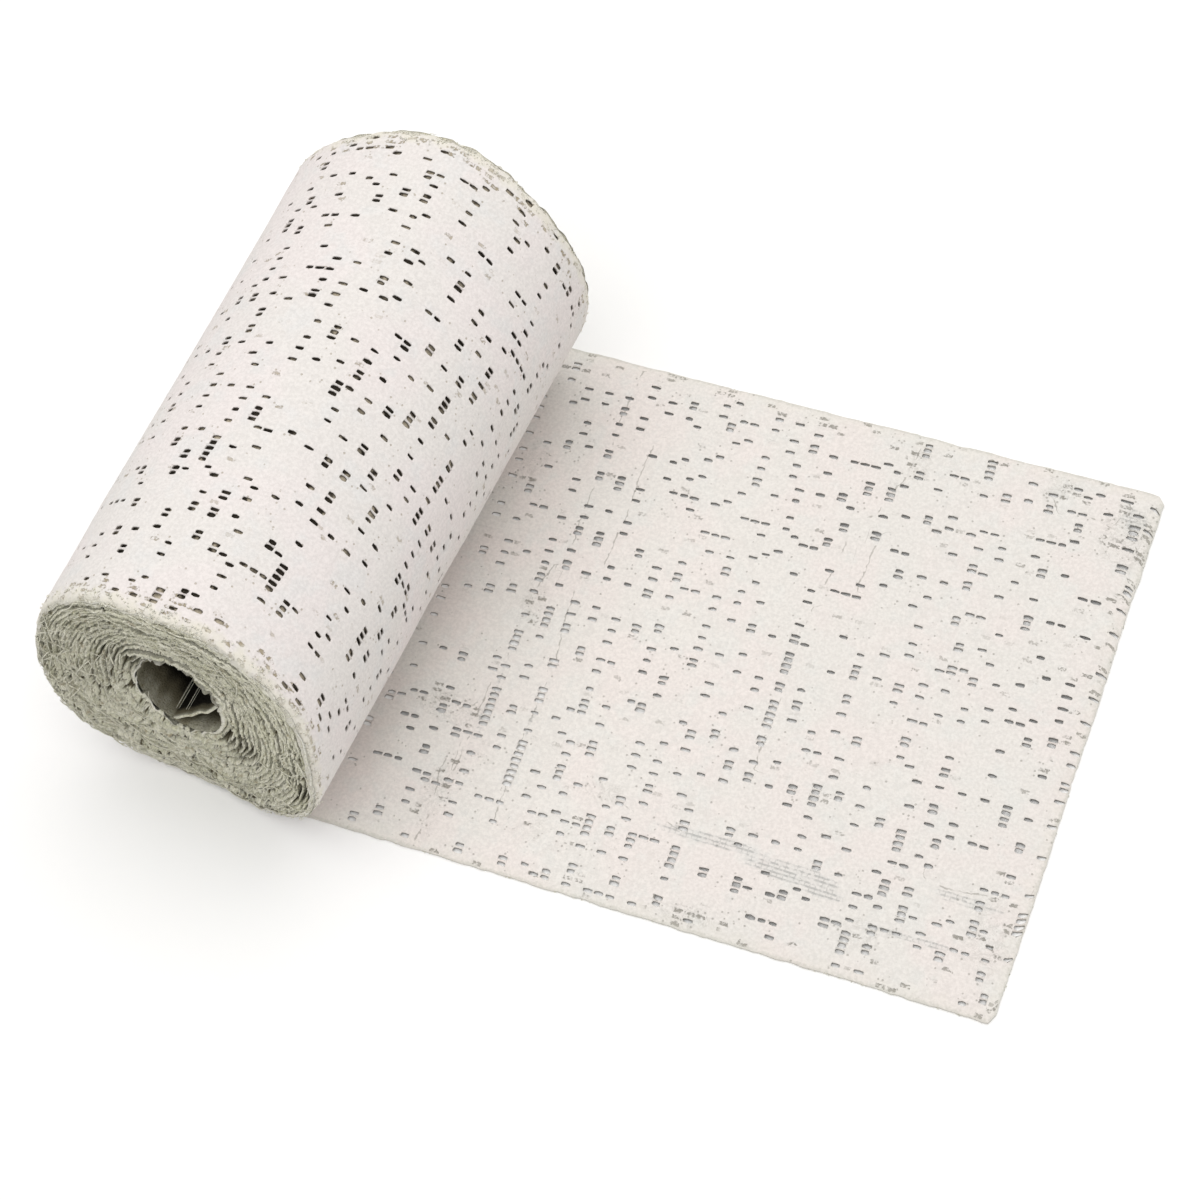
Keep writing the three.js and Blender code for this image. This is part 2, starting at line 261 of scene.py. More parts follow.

# Open cells that show in the photograph, read one by one. Every second column of the gauze is a
# strong one and has a whole number; halves are the columns between. Each mark is a place across
# the strip in millimetres from the near edge, and "x3" makes it a ladder of three cells.
LOOSE_MARKS = {
    -1: "47.9 45.8 42 36.6 32.2 26.5 14.1 3.5x2",
    -0.5: "27.5 22.1 14.1",
    0: "95 89.3 86.9 84.8 81.4 77.9 75.5 72.3 66.4 64 57.4x2 49.4 36.9 26.8 22.2 20 14.2 4.9x2",
    1: "97.5x2 94.9 80.3 71x2 64.4 59.8 57.4 55.3 50.7 49.4 36x2 29.1 25.7x2 21.2 17.8x2 13.2 9.8 7.5",
    1.5: "89.3 75.8 67.8 26.8 13.2x2 1.8",
    2: "92.9 90.5 81.5x2 67.9 58.8 52x2 26.8 22.5x2 11.9",
    2.5: "86 83.9 37.4 35.1 22.5 13.5",
    3: "93 90.6 81.8 75 72.7 66.9 62.4 60.1 57.5 55.5x2 52.1 47.5 44x2 40.7x2 36.3 34 31.6x7 22.5 "
    "19 15.8 "
    "13.5 10.3 7.8",
    4: "93.2 90.9x2 87.6 85.3 81.9x2 77.4x2 70.6 67.3 65x2 60.4 58x2 53.8 49.8 47.7x3 43.1 37.5 35.1 "
    "29.5x2 23.8 21.4 12.5 3.3x2",
    4.5: "12.5",
    5: "96.5 94.4 90 87.8 76.5x3 69.6 65.1x3 56.9 52.1 49.8 46.5x2 39.6x2 34x3 29.5 26 23.8x2 21x6 "
    "12.3 9",
    6: "94.4 92 83.1 76.3 73.9 69.3 66.9 60.1 57.9 52 49.8 44x2 29.5 19 14.6 3.2x2",
    6.5: "31.6 27 16.8 12.1",
    7: "95.5x2 92 82.9 79.4 64.6x2 57.7 50.7 48.4 46.2 42.7 40.5 36 33.9x3 25.8 23.6 21.3x3 12.1 3",
    7.5: "90.7 83.9 77.1 42.5 16.5 13.1 1.8",
    8: "80.4 77 62 59.7 57.4x2 50.4 49.3 34.6 31.2 27.8x3 18.7 11.9 9.8 2.7x2",
    8.5: "96.2 93.9 84.9 81.4 76.9 74.5 11.8",
    9: "97.4 92.9x2 85.9 64.1 61.9x2 57.2 51.4x2 46.8 44.4 42.2 36.6 21.9 14.8x4 9.3 5.6x2 2.3",
    9.5: "94.9 89.2 76.6 70.9 59.4 36.5x2 17.3",
    10: "93.8 91.4 77.7 70.9 67.4 59.4 47.6 41.9x2 38.5 29.5 27.3 25 19.2x2 13.4x2 8.9 1.6",
    10.5: "81 70.9 15.5 1.5",
    11: "97.1 94.8 89 86.7 84.5x2 75.3 68.3 66 63.8 59.1 56.8 54.4 52 49.6 47.3x2 30.4 26.9 24.6 22.3x2 "
    "18.8 13x3 8.5 4.8x2 1.5",
    11.5: "76.4 35.8 13.9",
    12: "97 93.4 91 81.9 76.3 73.9 69.3 62.3 59.9 56.6 49.4 43.5 41.3 34.6x2 31.2 26.6 13.9 1.4",
    12.5: "88.8 86.5 70.4 64.5 23",
    13: "95.6 93.3x2 84.3 81.9 78.3 76 71.4 61 56.4x2 50.4 46.9 38.9 35.5x2 27.4 20.4 18x2 13.3x4 "
    "7.5 4.3x2",
    13.5: "74.9",
    14: "92 88.7 84.1 73.7 67.9 55.1 46.9 44.5 41.1 33 30.7x2 27.3",
    14.5: "73.7 11.3x2 1.9",
    15: "92 85.2x2 75.9x2 65.4 63.2 58.4 56.2x2 52.8x3 49.2 46.8x2 43.5 42 40.9x3 36.5 35.4 31.9 29.5x2 "
    "19.1x2",
    15.5: "92 82.9 79.4x2 70 55.1 16.8",
    16: "92 88.7x3 66.5 46.8 44.5x2 41 33.1 28.5 19.1 11.3x3",
    16.5: "93.2 66.5 10.2",
    17: "92 88.7 87.5 86.4 82.9 79.4x2 68.9 66.5 58.4 51.5 39.9 36.5 29.6x2 26.1 19 13.5 5.5",
    17.5: "89.6 36.5 10 5.5",
    18: "99.5x3 93.2x2 84 77 70 56 53.8x3 47.9x2 44.4 40.9 30.7x4 24.7 21.3 19 11.3x2 5.4 2.8",
    18.5: "77 73.7x2 36.5 32.9 12",
    19: "90.8 85.2x2 57 52.3 40.9x2 30.7x2 22.4 17.8x2 10.9",
    19.5: "94.4 82.8 73.6 67.5",
    20: "94.4 86.4 84 70 64.1 60.8 58.4 52.5x2 49.1 32.9 29.4 25.8 21.2 16.4 8.5x2",
    20.5: "79.4 73.7 8.4",
    21: "99.5x4 95.5 92 84 53.9 51.4 46.6 43.2x2 39.7 28.3x2 14.1 11.9 9.8 7.4x3 3.6 1.5",
    21.5: "85.2 81.9 78.2x2 74.8x2 67.8x2 57.2 46.6 38.6 18.9 14.3",
    22: "93.4x2 85.2 77 68.9 63.2x2 58.4x2 53.9 49.1 36.5 32 27.3x4 21.4 17.9x3 13.3 9.9 8.3 6x2 1.5",
    22.5: "83 80.8 68.9 58.4 21.4 9.8",
    23: "97 93.4 73.8 63.2 57.5x2 51.8 49.3 42.4 40x2 36.7 33.1x2 29.7 23.9 17.9x2 14.6x3 9.9",
    23.5: "77.3 66.9 61 27.4x2 22.6 13.4",
    24: "95.5 93.5x2 86.7 83.2 57.6 53 50.5 36.7 30.9 28.7 11.1 8.8",
    24.5: "86.7 80.9x2 75.1 71.6x3 13.4",
    25: "98 93.6 86.7 58.9 54.3 52 46 41.4 36.8 28.8 14.7 8.8x2",
    25.5: "97 92.7 90.4x2 86.9 80 70.8 64.8 52.1 28.9 9.9",
    26: "97.3 70.8 60.3 52.3 48.7x2 37.1x3 32.5 21.6 19.4x2 15.9 14.4x2 9.9",
    26.5: "93.9 76.7 21 15 1.9",
    27: "97.5 76.9 70 60.6 58.4 56 53.8 50.3 48.9 43.3 38.6 35.1 30.4x2 24.4 21 12.8 10.4 8.2x2",
    27.5: "95.3 92.9x3 88.3 85x2 4.2x2",
    28: "97.5 93.4 81.7x2 77.3 72.9 63.8 59.9 55.3 49.4 46.9 43.5x2 40.3 35.6 29.4 22.6 19.5x4 10.8",
}
ROLL_MARKS = {
    -2: "92.8 84 76 72 67.5 61 52 47.8 43 38.5 34.8 22 14",
    -1: "93.9 91.5x2 86.3 82 79.7x3 63.8x2 59.5 52.8 46.3 44 42x2 38.8 35.4 21.8 13.8",
    -0.5: "84.5x2 65.5 29 22",
    0: "95.2 88.8 82.3 78x2 73.7 71.6 69.2 66.9 63.6x2 54.8x2 51.5 49.3 29.3x2 22.5 15.9 13.5 11.4",
    0.5: "94.5 26",
    1: "98.3 94.8 89.7 85.3 80.9 67.7 64.4 61x2 57.8x2 54.4 47.8 45.5 43.4 41 36.7 34.4x2 22.2x2 "
    "16.6x2 7.5",
    1.5: "81 79",
    2: "95.3 88.9 74.8 70.4 63.8 52.5 45.9 37.2 32.7x2 29.5x2 17.2 13.9x2 8.3",
    2.5: "95.5 88.9 81.4 70.5 55 50.7 29.9",
    3: "90.6 86.4x2 73.3 70.9 68.6 66.4x2 46.5 44.4 42.3 40.1 36.8x5 21.2x2 17.9 6.6",
    3.5: "30.5 8.2",
    4: "96.4 89.9x2 84.4 73.8 69.2 67.2 64.9 61.5 58.1 55.9 52.8 45 42.8x3 35.2 29.6 26.3 24.1x2 "
    "16.2 14.1 "
    "9.8 6.3",
    4.5: "98.8 94.4x2 39.9",
    5: "93.8 91.5 89.4x2 84.9 82.8 79.5 77.4 69.5 61.9x3 54.2 40.2 36.9 28x2 24.4x2 20x2 8.6x3",
    5.5: "85.9 73x2 31.4",
    6: "95.4 79.5 77.4 69.7 59.9 55.4 41.4 30.3 28.1 24.6 18.9x2 9.9x2 6.6",
    6.5: "95.3 78.4 74 70.7 52.1x3 22.4 17.9 9.9",
    7: "96.1 93 90.9 88.8 60.8 58.6 56.4 54.3 52 47.7 45.5 40 30 16.5 14.3 11.9 7.5",
    7.5: "81.2 65 17.5",
    8: "98 71.4 64.7x2 61.4 57.1 52.6 50.5 44 39.6x2 34 30.8 22.9x2 17.2 7",
    8.5: "86.2 81.9 78.7x2 75.5 71.1 21.5 17",
    9: "98.9 96.8 94.7 86 66.5x2 59.9 53.3x2 45.7x2 39.3x2 34.9x2 31.4 29.3 24.8 20.4x5 13.5",
    9.5: "92.4 90.3 48.6",
    10: "93.4 77.1 74.9 70.5x2 64.9 60.6 55.2x3 43x2 38.7 28.7 15.4x3",
    10.5: "15.1",
    11: "97.7 94.3 84.5 82.2 74.6 71.2 65.8x2 61.3x3 56.9x2 52.4 49.1 44.8x2 38 36x2 32.6 28.2",
    11.5: "84.4 39",
    12: "94x2 89.6 87.5 78.7 75.4 70.9x2 67.5 65.3x2 56.4 44.3 42 32.2 28.9 23.2 17.7 14.4 12.3 4.4",
    12.5: "82.9 80.7 78.6 76.3 20.8 15.3 11.9 7.4 5.3",
    13: "92.6 76.2 59.4 57.1 52.7x2 49.4x3 44.9 42.7x3 23.9 3.8",
    13.5: "93.8x2 75.9",
    14: "75.8 71.4 69.2 66.9 63.6 60.1 47.9 42.4x2 39.1 36.9 34.6 32.4 30.2 24.5 20.1x3 15.5x2 6.5x2",
    14.5: "92.4 31.1 3.8",
    15: "94.3 92 81.1 78.8 76.6x2 72x2 63.2 58.5 56.4 47.4 41.9x2 31.9x2 27.5x2 23.2 21.8 18.4x2 "
    "13.9 5.9",
    15.5: "91.3 86.6 82.2 29.5 10.3 8 4.4",
    16: "70.5x3 62.9 60.6 58.4 55 52.9 50.6 45 42.7 40.5 37.2 29.3 23.5 21.2 9.9",
    16.5: "31.3 29",
    17: "66 57 48 40.9 35.5 25.2 19.6x2 15.9 13.5 8.9x2",
}


def open_cells(columns, share, marks, column_of, row_of, seed):
    """Which cells are open: those marked, and scattered ones outside the marked columns.

    share(column, row) scales how likely a cell is. A strong column's open cells tend to follow
    each other every second row. Marked columns take their random draws too, but don't use them.
    """
    rng = np.random.default_rng(seed)
    cells = np.zeros((columns, ROWS), bool)
    read = [column_of(key) for key in marks]
    for column in range(1, columns - 1):
        strong = column % 2 == 0
        unread = not min(read) <= column <= max(read)
        row = ROWS - 2 - int(rng.integers(2)) * (column % 4 == 0)
        length = 0
        while row > 0:
            heads = STRONG_HEADS if strong else WEAK_HEADS
            chance = AFTER_A_HEAD if strong and length else heads
            length = 0
            if rng.random() < chance * share(column, row):
                length = int(rng.choice(LADDER_LENGTHS, p=LADDER_SHARES))
                if unread:
                    cells[column, max(row - length + 1, 1) : row + 1] = True
            row -= 2 if length < 2 else length + 1
    for key, text in marks.items():
        column = column_of(key)
        for mark in text.split():
            width, _, count = mark.partition("x")
            row = row_of(column, float(width))
            for k in range(int(count or 1)):
                cells[column, min(max(row - k, 1), ROWS - 2)] = True
    return cells


# A cell's border as eight points, in half cells
RING_U = [0, 1, 2, 2, 2, 1, 0, 0]
RING_W = [0, 0, 0, 1, 2, 2, 2, 1]
RING = len(RING_U)
# In shares of the gauze's thickness: how far a thin thread sinks, how high a hole's rim lies, and
# how deep inside the hole that rim counts for the painted shade
THIN_THREAD = 0.3
RIM_LEVEL = 0.8
RIM_DEPTH = 0.25


def hole_ring(cells, rng):
    """Eight points round each open cell's hole, as offsets from its middle in cell units."""
    count = len(cells)
    half_u = HOLE_LENGTH / CELL_LENGTH / 2 * rng.uniform(0.8, 1.04, (count, 1))
    half_w = HOLE_WIDTH / CELL_WIDTH / 2 * rng.uniform(0.82, 1.1, (count, 1))
    corner_u, corner_w = 0.86, 0.76
    u = np.array([-corner_u, 0, corner_u, 1, corner_u, 0, -corner_u, -1])
    w = np.array([-corner_w, -1, -corner_w, 0, corner_w, 1, corner_w, 0])
    u = u * half_u + rng.normal(0, 0.02, (count, RING))
    w = w * half_w + rng.normal(0, 0.03, (count, RING))
    return np.clip(u, -0.48, 0.48), w


def sheet_coordinates(cells, rng):
    """Cell coordinates of one side's points: the grid, then the holes' lips, then their rims."""
    columns, rows = cells.shape
    grid_u, grid_w = np.meshgrid(
        np.arange(2 * columns + 1) / 2, np.arange(2 * rows + 1) / 2, indexing="ij"
    )
    opened = np.argwhere(cells)
    ring_u, ring_w = hole_ring(opened, rng)
    for k, side in ((1, -1), (5, 1)):
        beside = cells[opened[:, 0], np.clip(opened[:, 1] + side, 0, rows - 1)]
        ring_w[:, k - 1 : k + 2] += np.where(beside, side * 0.08, 0)[:, None]
    ring_w = np.clip(ring_w, -0.45, 0.45)
    middle = opened + 0.5
    border_u, border_w = np.array(RING_U) / 2 - 0.5, np.array(RING_W) / 2 - 0.5
    all_u, all_w = [grid_u.ravel()], [grid_w.ravel()]
    for share in (0.5, 0.0):
        all_u.append((middle[:, :1] + lerp(ring_u, border_u, share)).ravel())
        all_w.append((middle[:, 1:] + lerp(ring_w, border_w, share)).ravel())
    return np.concatenate(all_u), np.concatenate(all_w), grid_u.size


def sheet_faces(cells, grid_count, count):
    """Faces of the closed cells, of the holes and of the outer edge. One side has count points."""
    tall = 2 * cells.shape[1] + 1
    faces = []
    closed, opened = np.argwhere(~cells), np.argwhere(cells)
    base = (2 * closed[:, 0]) * tall + 2 * closed[:, 1]
    for du, dw in np.ndindex(2, 2):
        a = base + du * tall + dw
        quad = np.stack([a, a + tall, a + tall + 1, a + 1], -1)
        faces += quad.tolist() + (quad[:, ::-1] + count).tolist()
    base = (2 * opened[:, 0]) * tall + 2 * opened[:, 1]
    lip = grid_count + np.arange(len(opened)) * RING
    for k in range(RING):
        n = (k + 1) % RING
        outer_a = base + RING_U[k] * tall + RING_W[k]
        outer_b = base + RING_U[n] * tall + RING_W[n]
        lip_a, lip_b = lip + k, lip + n
        rim_a, rim_b = lip_a + RING * len(opened), lip_b + RING * len(opened)
        quads = [
            (outer_a, outer_b, lip_b, lip_a),
            (lip_a, lip_b, rim_b, rim_a),
            (rim_a, rim_b, rim_b + count, rim_a + count),
            (rim_a + count, rim_b + count, outer_b + count, outer_a + count),
        ]
        for quad in quads:
            faces += np.stack(quad, -1).tolist()
    grid = np.arange(grid_count).reshape(-1, tall)
    border = np.concatenate([grid[:, 0], grid[-1, 1:], grid[-2::-1, -1], grid[0, -2:0:-1]])
    ahead = np.roll(border, -1)
    return faces + np.stack([ahead, border, border + count, ahead + count], -1).tolist()


def gauze_sheet(cells, place, seed):
    """Points and faces of a closed sheet of gauze. cells says which cells are open.

    place(column, row, level) gives points for cell coordinates, level 0 below and 1 above.
    Returns the points, the faces, each point's cell coordinates, and how far inside a hole or below
    the sheet it is, which the material paints as shade.
    """
    columns, rows = cells.shape
    tall = 2 * rows + 1
    u, w, grid_count = sheet_coordinates(cells, np.random.default_rng(seed))
    count = len(u)
    in_rim = np.arange(count) >= grid_count + RING * np.count_nonzero(cells)

    # A thread between two open cells is thin, where plaster is thick
    thin = np.zeros(count)
    column, row = np.argwhere(cells[:, 1:] & cells[:, :-1]).T
    thin[(2 * column + 1) * tall + 2 * (row + 1)] = THIN_THREAD
    top = place(u, w, np.where(in_rim, RIM_LEVEL, 1.0) - thin)
    bottom = place(u, w, thin)
    at_border = (u <= 0) | (u >= columns) | (w <= 0) | (w >= rows)
    depth = np.concatenate([np.where(in_rim, RIM_DEPTH, 0.0) + thin, np.where(at_border, 0.0, 1.0)])
    coordinates = np.stack([u * CELL_LENGTH, w * CELL_WIDTH, np.zeros(count)], -1)
    faces = sheet_faces(cells, grid_count, count)
    return np.concatenate([top, bottom]), faces, np.tile(coordinates, (2, 1)), depth


# Cracks and worn places, in the strip's length and width

CRACKS = [
    [(41.6, 99), (41.2, 88), (42.1, 80), (41.5, 70), (42.2, 62), (41.6, 58)],
    [(49.0, 86), (48.6, 78), (49.2, 70), (48.9, 60)],
    [(41.6, 58), (43.5, 56.5), (45.8, 56), (46.0, 48), (47.4, 40), (47.2, 24), (48.2, 8)],
    [(40.4, 57), (38.6, 50), (39.0, 40), (38.2, 33), (38.4, 14)],
    [(94.0, 98), (93.2, 91), (91.4, 86), (90.8, 82.5), (88.0, 80.5), (87.4, 72), (86.4, 66)],
    [(86.2, 62), (86.0, 54), (86.6, 46), (86.2, 38), (86.4, 31)],
    [(92.6, 79), (92.2, 68)],
    [(30.0, 27), (33.4, 25.4), (36.8, 27.6), (38.0, 24.6)],
    [(36.6, 21), (36.0, 14), (37.6, 8), (36.8, 1)],
    [(66.0, 18.6), (69.5, 17.4), (74.0, 17.8), (79.0, 16.4)],
    [(119.0, 20.6), (124, 19.6), (129, 20.4), (136, 21.8)],
    [(118.5, 95), (120.5, 92), (124.0, 93.4), (130.5, 91.6)],
    [(131.5, 97), (132.6, 92.6), (135.4, 88), (135.0, 84)],
]
CRACK_REACH = 2.5
FAR_AWAY = 99.0
# Middle length and width, half length and half width, and strength
CRACKLE = [
    (33.5, 26.0, 6.5, 3.6, 1.0),
    (29.5, 76.0, 3.2, 6.5, 0.7),
    (39.5, 50.0, 3.2, 7.5, 0.7),
    (37.0, 10.0, 3.5, 9.0, 0.7),
    (133.0, 91.0, 6.0, 8.0, 1.0),
    (119.5, 97.0, 5.0, 3.5, 0.7),
    (95.0, 95.0, 3.0, 4.5, 0.8),
    (64.0, 19.0, 4.5, 2.6, 0.9),
    (58.0, 9.0, 9.0, 5.0, 0.45),
    (132.0, 13.0, 5.0, 9.0, 0.7),
    (84.0, 2.5, 6.0, 2.2, 0.9),
    (112.0, 8.0, 5.0, 4.0, 0.7),
]
BARE = [
    (84.0, 16.3, 13.0, 1.3, 0.9),
    (98.5, 14.6, 9.5, 2.1, 1.0),
    (104.5, 12.9, 5.0, 1.4, 0.9),
    (127.0, 18.6, 8.0, 1.3, 0.7),
    (121.0, 9.8, 9.0, 0.8, 0.8),
    (133.5, 94.5, 3.5, 3.0, 0.7),
    (47.6, 26.0, 0.8, 18.0, 0.6),
    (39.4, 26.0, 0.8, 18.0, 0.6),
    (22.0, 94.5, 3.0, 2.2, 0.9),
]


def crack_fields(length, width):
    """The signed distance to the nearest crack, in millimetres, and 1 close to that crack."""
    best = np.full(len(length), FAR_AWAY)
    signed = np.full(len(length), FAR_AWAY)
    for crack in CRACKS:
        for (l0, w0), (l1, w1) in zip(crack, crack[1:]):
            run = np.array([l1 - l0, w1 - w0])
            dl, dw = length - l0, width - w0
            share = np.clip((dl * run[0] + dw * run[1]) / (run @ run), 0, 1)
            away = np.hypot(dl - share * run[0], dw - share * run[1])
            side = (dl * run[1] - dw * run[0]) / np.linalg.norm(run)
            nearer = away < best
            best = np.where(nearer, away, best)
            signed = np.where(nearer, np.where(away > np.abs(side) + 0.3, away, side), signed)
    return np.clip(signed, -CRACK_REACH, CRACK_REACH), 1 - smooth_step(best / CRACK_REACH)


def patch_field(patches, length, width):
    strength = np.zeros(len(length))
    for mid_l, mid_w, half_l, half_w, top in patches:
        away = np.hypot((length - mid_l) / half_l, (width - mid_w) / half_w)
        strength = np.maximum(strength, top * smooth_step(1.35 - away))
    return strength


# The loose end

LOOSE_SHARE = 0.75
LOOSE_CELLS_SEED = 7
LOOSE_HOLES_SEED = 11
LIFT = 0.62
PRESSED_BY_ROLL = 24.0
# The lattice starts a little before the strip's nominal start. Its first columns are squeezed
# together out of sight under the roll.
LATTICE_START = -4.63
LATTICE_PITCH = 1.935
LOOSE_COLUMNS = 73
FIRST_MARKED_COLUMN = 16
HIDDEN_LENGTH = 18.0
# Over this length the leaning lattice is drawn to the straight cut end
END_FADE = 9.0
# The stored distance to a sheet's edge stops at this
EDGE_REACH = 12.0
SHEET_SHARP = 38
# Where the loose end stands off the floor: middle length and width, half length and width, height
RAISED = [
    (45, 84, 12, 16, 0.8),
    (46, 64, 10, 11, 0.7),
    (27, 20, 10, 11, 0.8),
    (28, 34, 7, 8, 0.35),
    (94, 9, 13, 6, 0.8),
    (88, 80, 12, 16, 0.6),
    (87, 58, 8, 12, 0.55),
    (130, 66, 9, 28, 0.7),
    (124, 34, 14, 12, 0.38),
    (112, 18, 6, 8, 0.3),
    (55, 78, 8, 9, 0.35),
    (66, 42, 8, 7, 0.3),
    (94, 28, 9, 9, 0.3),
]


def raised_height(length, width):
    height = np.zeros(len(length))
    for mid_l, mid_w, half_l, half_w, rise in RAISED:
        away = ((length - mid_l) / half_l) ** 2 + ((width - mid_w) / half_w) ** 2
        height = np.maximum(height, rise * np.exp(-away))
    return height


def lattice_point(column, row):
    """Length and width on the strip of the loose end's lattice, and the distance to its end."""
    even = LATTICE_START + column * LATTICE_PITCH
    lattice_end = LATTICE_START + LOOSE_COLUMNS * LATTICE_PITCH
    to_end = lattice_end - even
    rounded = np.clip(1 - to_end / CORNER_RADIUS, 0, 1)
    inset = CORNER_RADIUS * (1 - np.sqrt(1 - rounded**2))
    width = lerp(inset, LOOSE_WIDTH - inset, row / ROWS)
    lean = LEAN_LOOSE * (LOOSE_WIDTH / 2 - width)
    drawn = (LOOSE_LENGTH - lattice_end) * smooth_step(1 - to_end / END_FADE)
    length = even + lean * smooth_step(to_end / END_FADE) + drawn
    start = (LOOSE_START_X + width * math.sin(LOOSE_TURN)) / math.cos(LOOSE_TURN)
    out_of_sight = (even - LATTICE_START) / (HIDDEN_LENGTH - LATTICE_START)
    hidden = lerp(start, HIDDEN_LENGTH + lean, out_of_sight)
    return np.where(out_of_sight < 1, hidden, length), width, to_end


def table_place(length, width):
    """x and y of a place on the loose end's strip."""
    x = length * math.cos(LOOSE_TURN) - width * math.sin(LOOSE_TURN)
    y = LOOSE_FRONT + length * math.sin(LOOSE_TURN) + width * math.cos(LOOSE_TURN)
    return x, y


def strip_position(points):
    """The strip's length and width at points of the loose end."""
    x, y = points[:, 0], points[:, 1] - LOOSE_FRONT
    length = x * math.cos(LOOSE_TURN) + y * math.sin(LOOSE_TURN)
    width = -x * math.sin(LOOSE_TURN) + y * math.cos(LOOSE_TURN)
    return length, width


def loose_place(column, row, level):
    """Where the loose end's cells lie."""
    length, width, to_end = lattice_point(column, row)
    flat = np.stack([length, width, np.zeros_like(length)], -1)
    ragged = 0.13 * value_noise(flat, 1.1, 41) + 0.1 * value_noise(flat, 5.0, 42)
    to_side = np.minimum(width, LOOSE_WIDTH - width)
    length = length + ragged * smooth_step(1 - to_end / 2.5)
    length = length + 0.12 * value_noise(flat, 7.0, 43)
    side = np.where(width > LOOSE_WIDTH / 2, 1, -1)
    width = width + side * ragged * smooth_step(1 - to_side / 2.0)
    width = width + 0.14 * value_noise(flat, 9.0, 44) * smooth_step(to_side / 3)

    # The near corner under the roll is tucked in
    width = width + 2.0 * smooth_step((7 - length) / 8) * smooth_step(1 - width / 14)
    x, y = table_place(length, width)
    wave = 0.34 + 0.3 * value_noise(flat, 17.0, 45) + 0.16 * value_noise(flat, 6.0, 46)
    to_edge = np.minimum(to_side, np.maximum(to_end, 0))
    lift = LIFT * np.clip(wave, 0.5, 1.0) + raised_height(length, width)
    lift = lift * smooth_step(to_edge / 2.4 + 0.06)
    lift = lift * smooth_step((x - PRESSED_BY_ROLL + 6) / 9)
    crack, near = crack_fields(length, width)
    trough = 0.14 * np.exp(-((crack / 0.9) ** 2)) * near
    skin = 0.03 * value_noise(flat, 1.6, 47)
    z = lift + level * GAUZE + np.where(level > 0.5, skin - trough, 0)
    return np.stack([x, y, np.maximum(z, 0)], -1)


def build_loose_end(material):
    cells = open_cells(
        LOOSE_COLUMNS,
        lambda column, row: LOOSE_SHARE,
        LOOSE_MARKS,
        lambda key: FIRST_MARKED_COLUMN + round(2 * key),
        lambda column, width: round(width * ROWS / LOOSE_WIDTH - MARK_TO_ROW),
        LOOSE_CELLS_SEED,
    )
    points, faces, cell_mm, depth = gauze_sheet(cells, loose_place, LOOSE_HOLES_SEED)
    length, width = strip_position(points)
    crack, near = crack_fields(length, width)
    edge = np.minimum(np.minimum(width, LOOSE_WIDTH - width), LOOSE_LENGTH - length)
    fields = {
        "cell": cell_mm,
        "depth": depth,
        "edge": np.clip(edge, 0, EDGE_REACH),
        "crack": crack,
        "crack_near": near,
        "crackle": patch_field(CRACKLE, length, width),
        "bare": patch_field(BARE, length, width),
    }
    piece = make_piece("loose_end", points, faces, material, fields, sharp=SHEET_SHARP)
    return piece


# The roll's outer turn

ROLL_COLUMNS = 97
ROLL_CELLS_SEED = 23
ROLL_HOLES_SEED = 29
COLUMN_ANGLE = math.radians(3.74)
TURN_START = math.radians(265.0)
TURN_SWEEP = ROLL_COLUMNS * COLUMN_ANGLE
FIRST_ROLL_MARK = 38
MEAN_RADIUS = (FRONT_RADIUS + BACK_RADIUS) / 2
SPIRAL_DROP = 0.55
# The share of the turn from which it lies on the loose end
ON_LOOSE_END = 0.6
# Sets the roll's cells apart from the loose end's, so that each has other luck in the material
ROLL_CELL_SHIFT = np.array([500.0, 0, 0])


def roll_share(column, row):
    return 0.9 + 0.2 * math.sin(column * 0.31 + 0.6) * math.sin(row * CELL_WIDTH / 14.0 + 2.0)


def roll_row(column, y):
    """The row of the outer turn that lies at y in a column."""
    angle = TURN_START - (column + 0.5) * COLUMN_ANGLE
    front = float(rim_value("front", angle))
    back = STRIP_WIDTH + float(rim_value("back", angle))
    return round((y - front) / (back - front) * ROWS - MARK_TO_ROW)


def roll_place(column, row, level):
    """Where the outer turn's cells lie: from under the roll, up its left side and over the top."""
    along = row / ROWS
    sweep = column / ROLL_COLUMNS * TURN_SWEEP
    lean = LEAN_WOUND * STRIP_WIDTH * (0.5 - along) / MEAN_RADIUS
    inner = smooth_step(sweep / 0.25) * smooth_step((TURN_SWEEP - sweep) / 0.25)
    angle = TURN_START - sweep + lean * inner
    to_side = np.minimum(along * STRIP_WIDTH, (1 - along) * STRIP_WIDTH)
    rounded = np.clip(1 - to_side / EDGE_WEAR / 1.5, 0, 1)
    worn = EDGE_WEAR * 0.75 * (1 - np.sqrt(1 - rounded**2 * 0.98))
    drop = SPIRAL_DROP * sweep / TURN_SWEEP
    spot = roll_point(angle, along, worn + drop + (1 - level) * GAUZE)
    ragged = value_noise(spot, 1.0, 51) * 0.4 + value_noise(spot, 4.0, 52) * 0.25
    near_rim = smooth_step(1 - to_side / 3.0)
    spot[:, 1] += np.where(along > 0.5, 1, -1) * ragged * near_rim
    swell = 0.16 * value_noise(spot, 13.0, 53) + 0.03 * value_noise(spot, 1.7, 54)
    swell += near_rim * (0.22 * value_noise(spot, 1.2, 55) - 0.05)
    spot[:, 0] += swell * np.cos(angle)
    spot[:, 2] += swell * np.sin(angle)
    below = np.where(sweep > TURN_SWEEP * ON_LOOSE_END, GAUZE + 0.06, 0.0)
    spot[:, 2] = np.maximum(spot[:, 2], below + level * GAUZE * 0.9)
    return spot


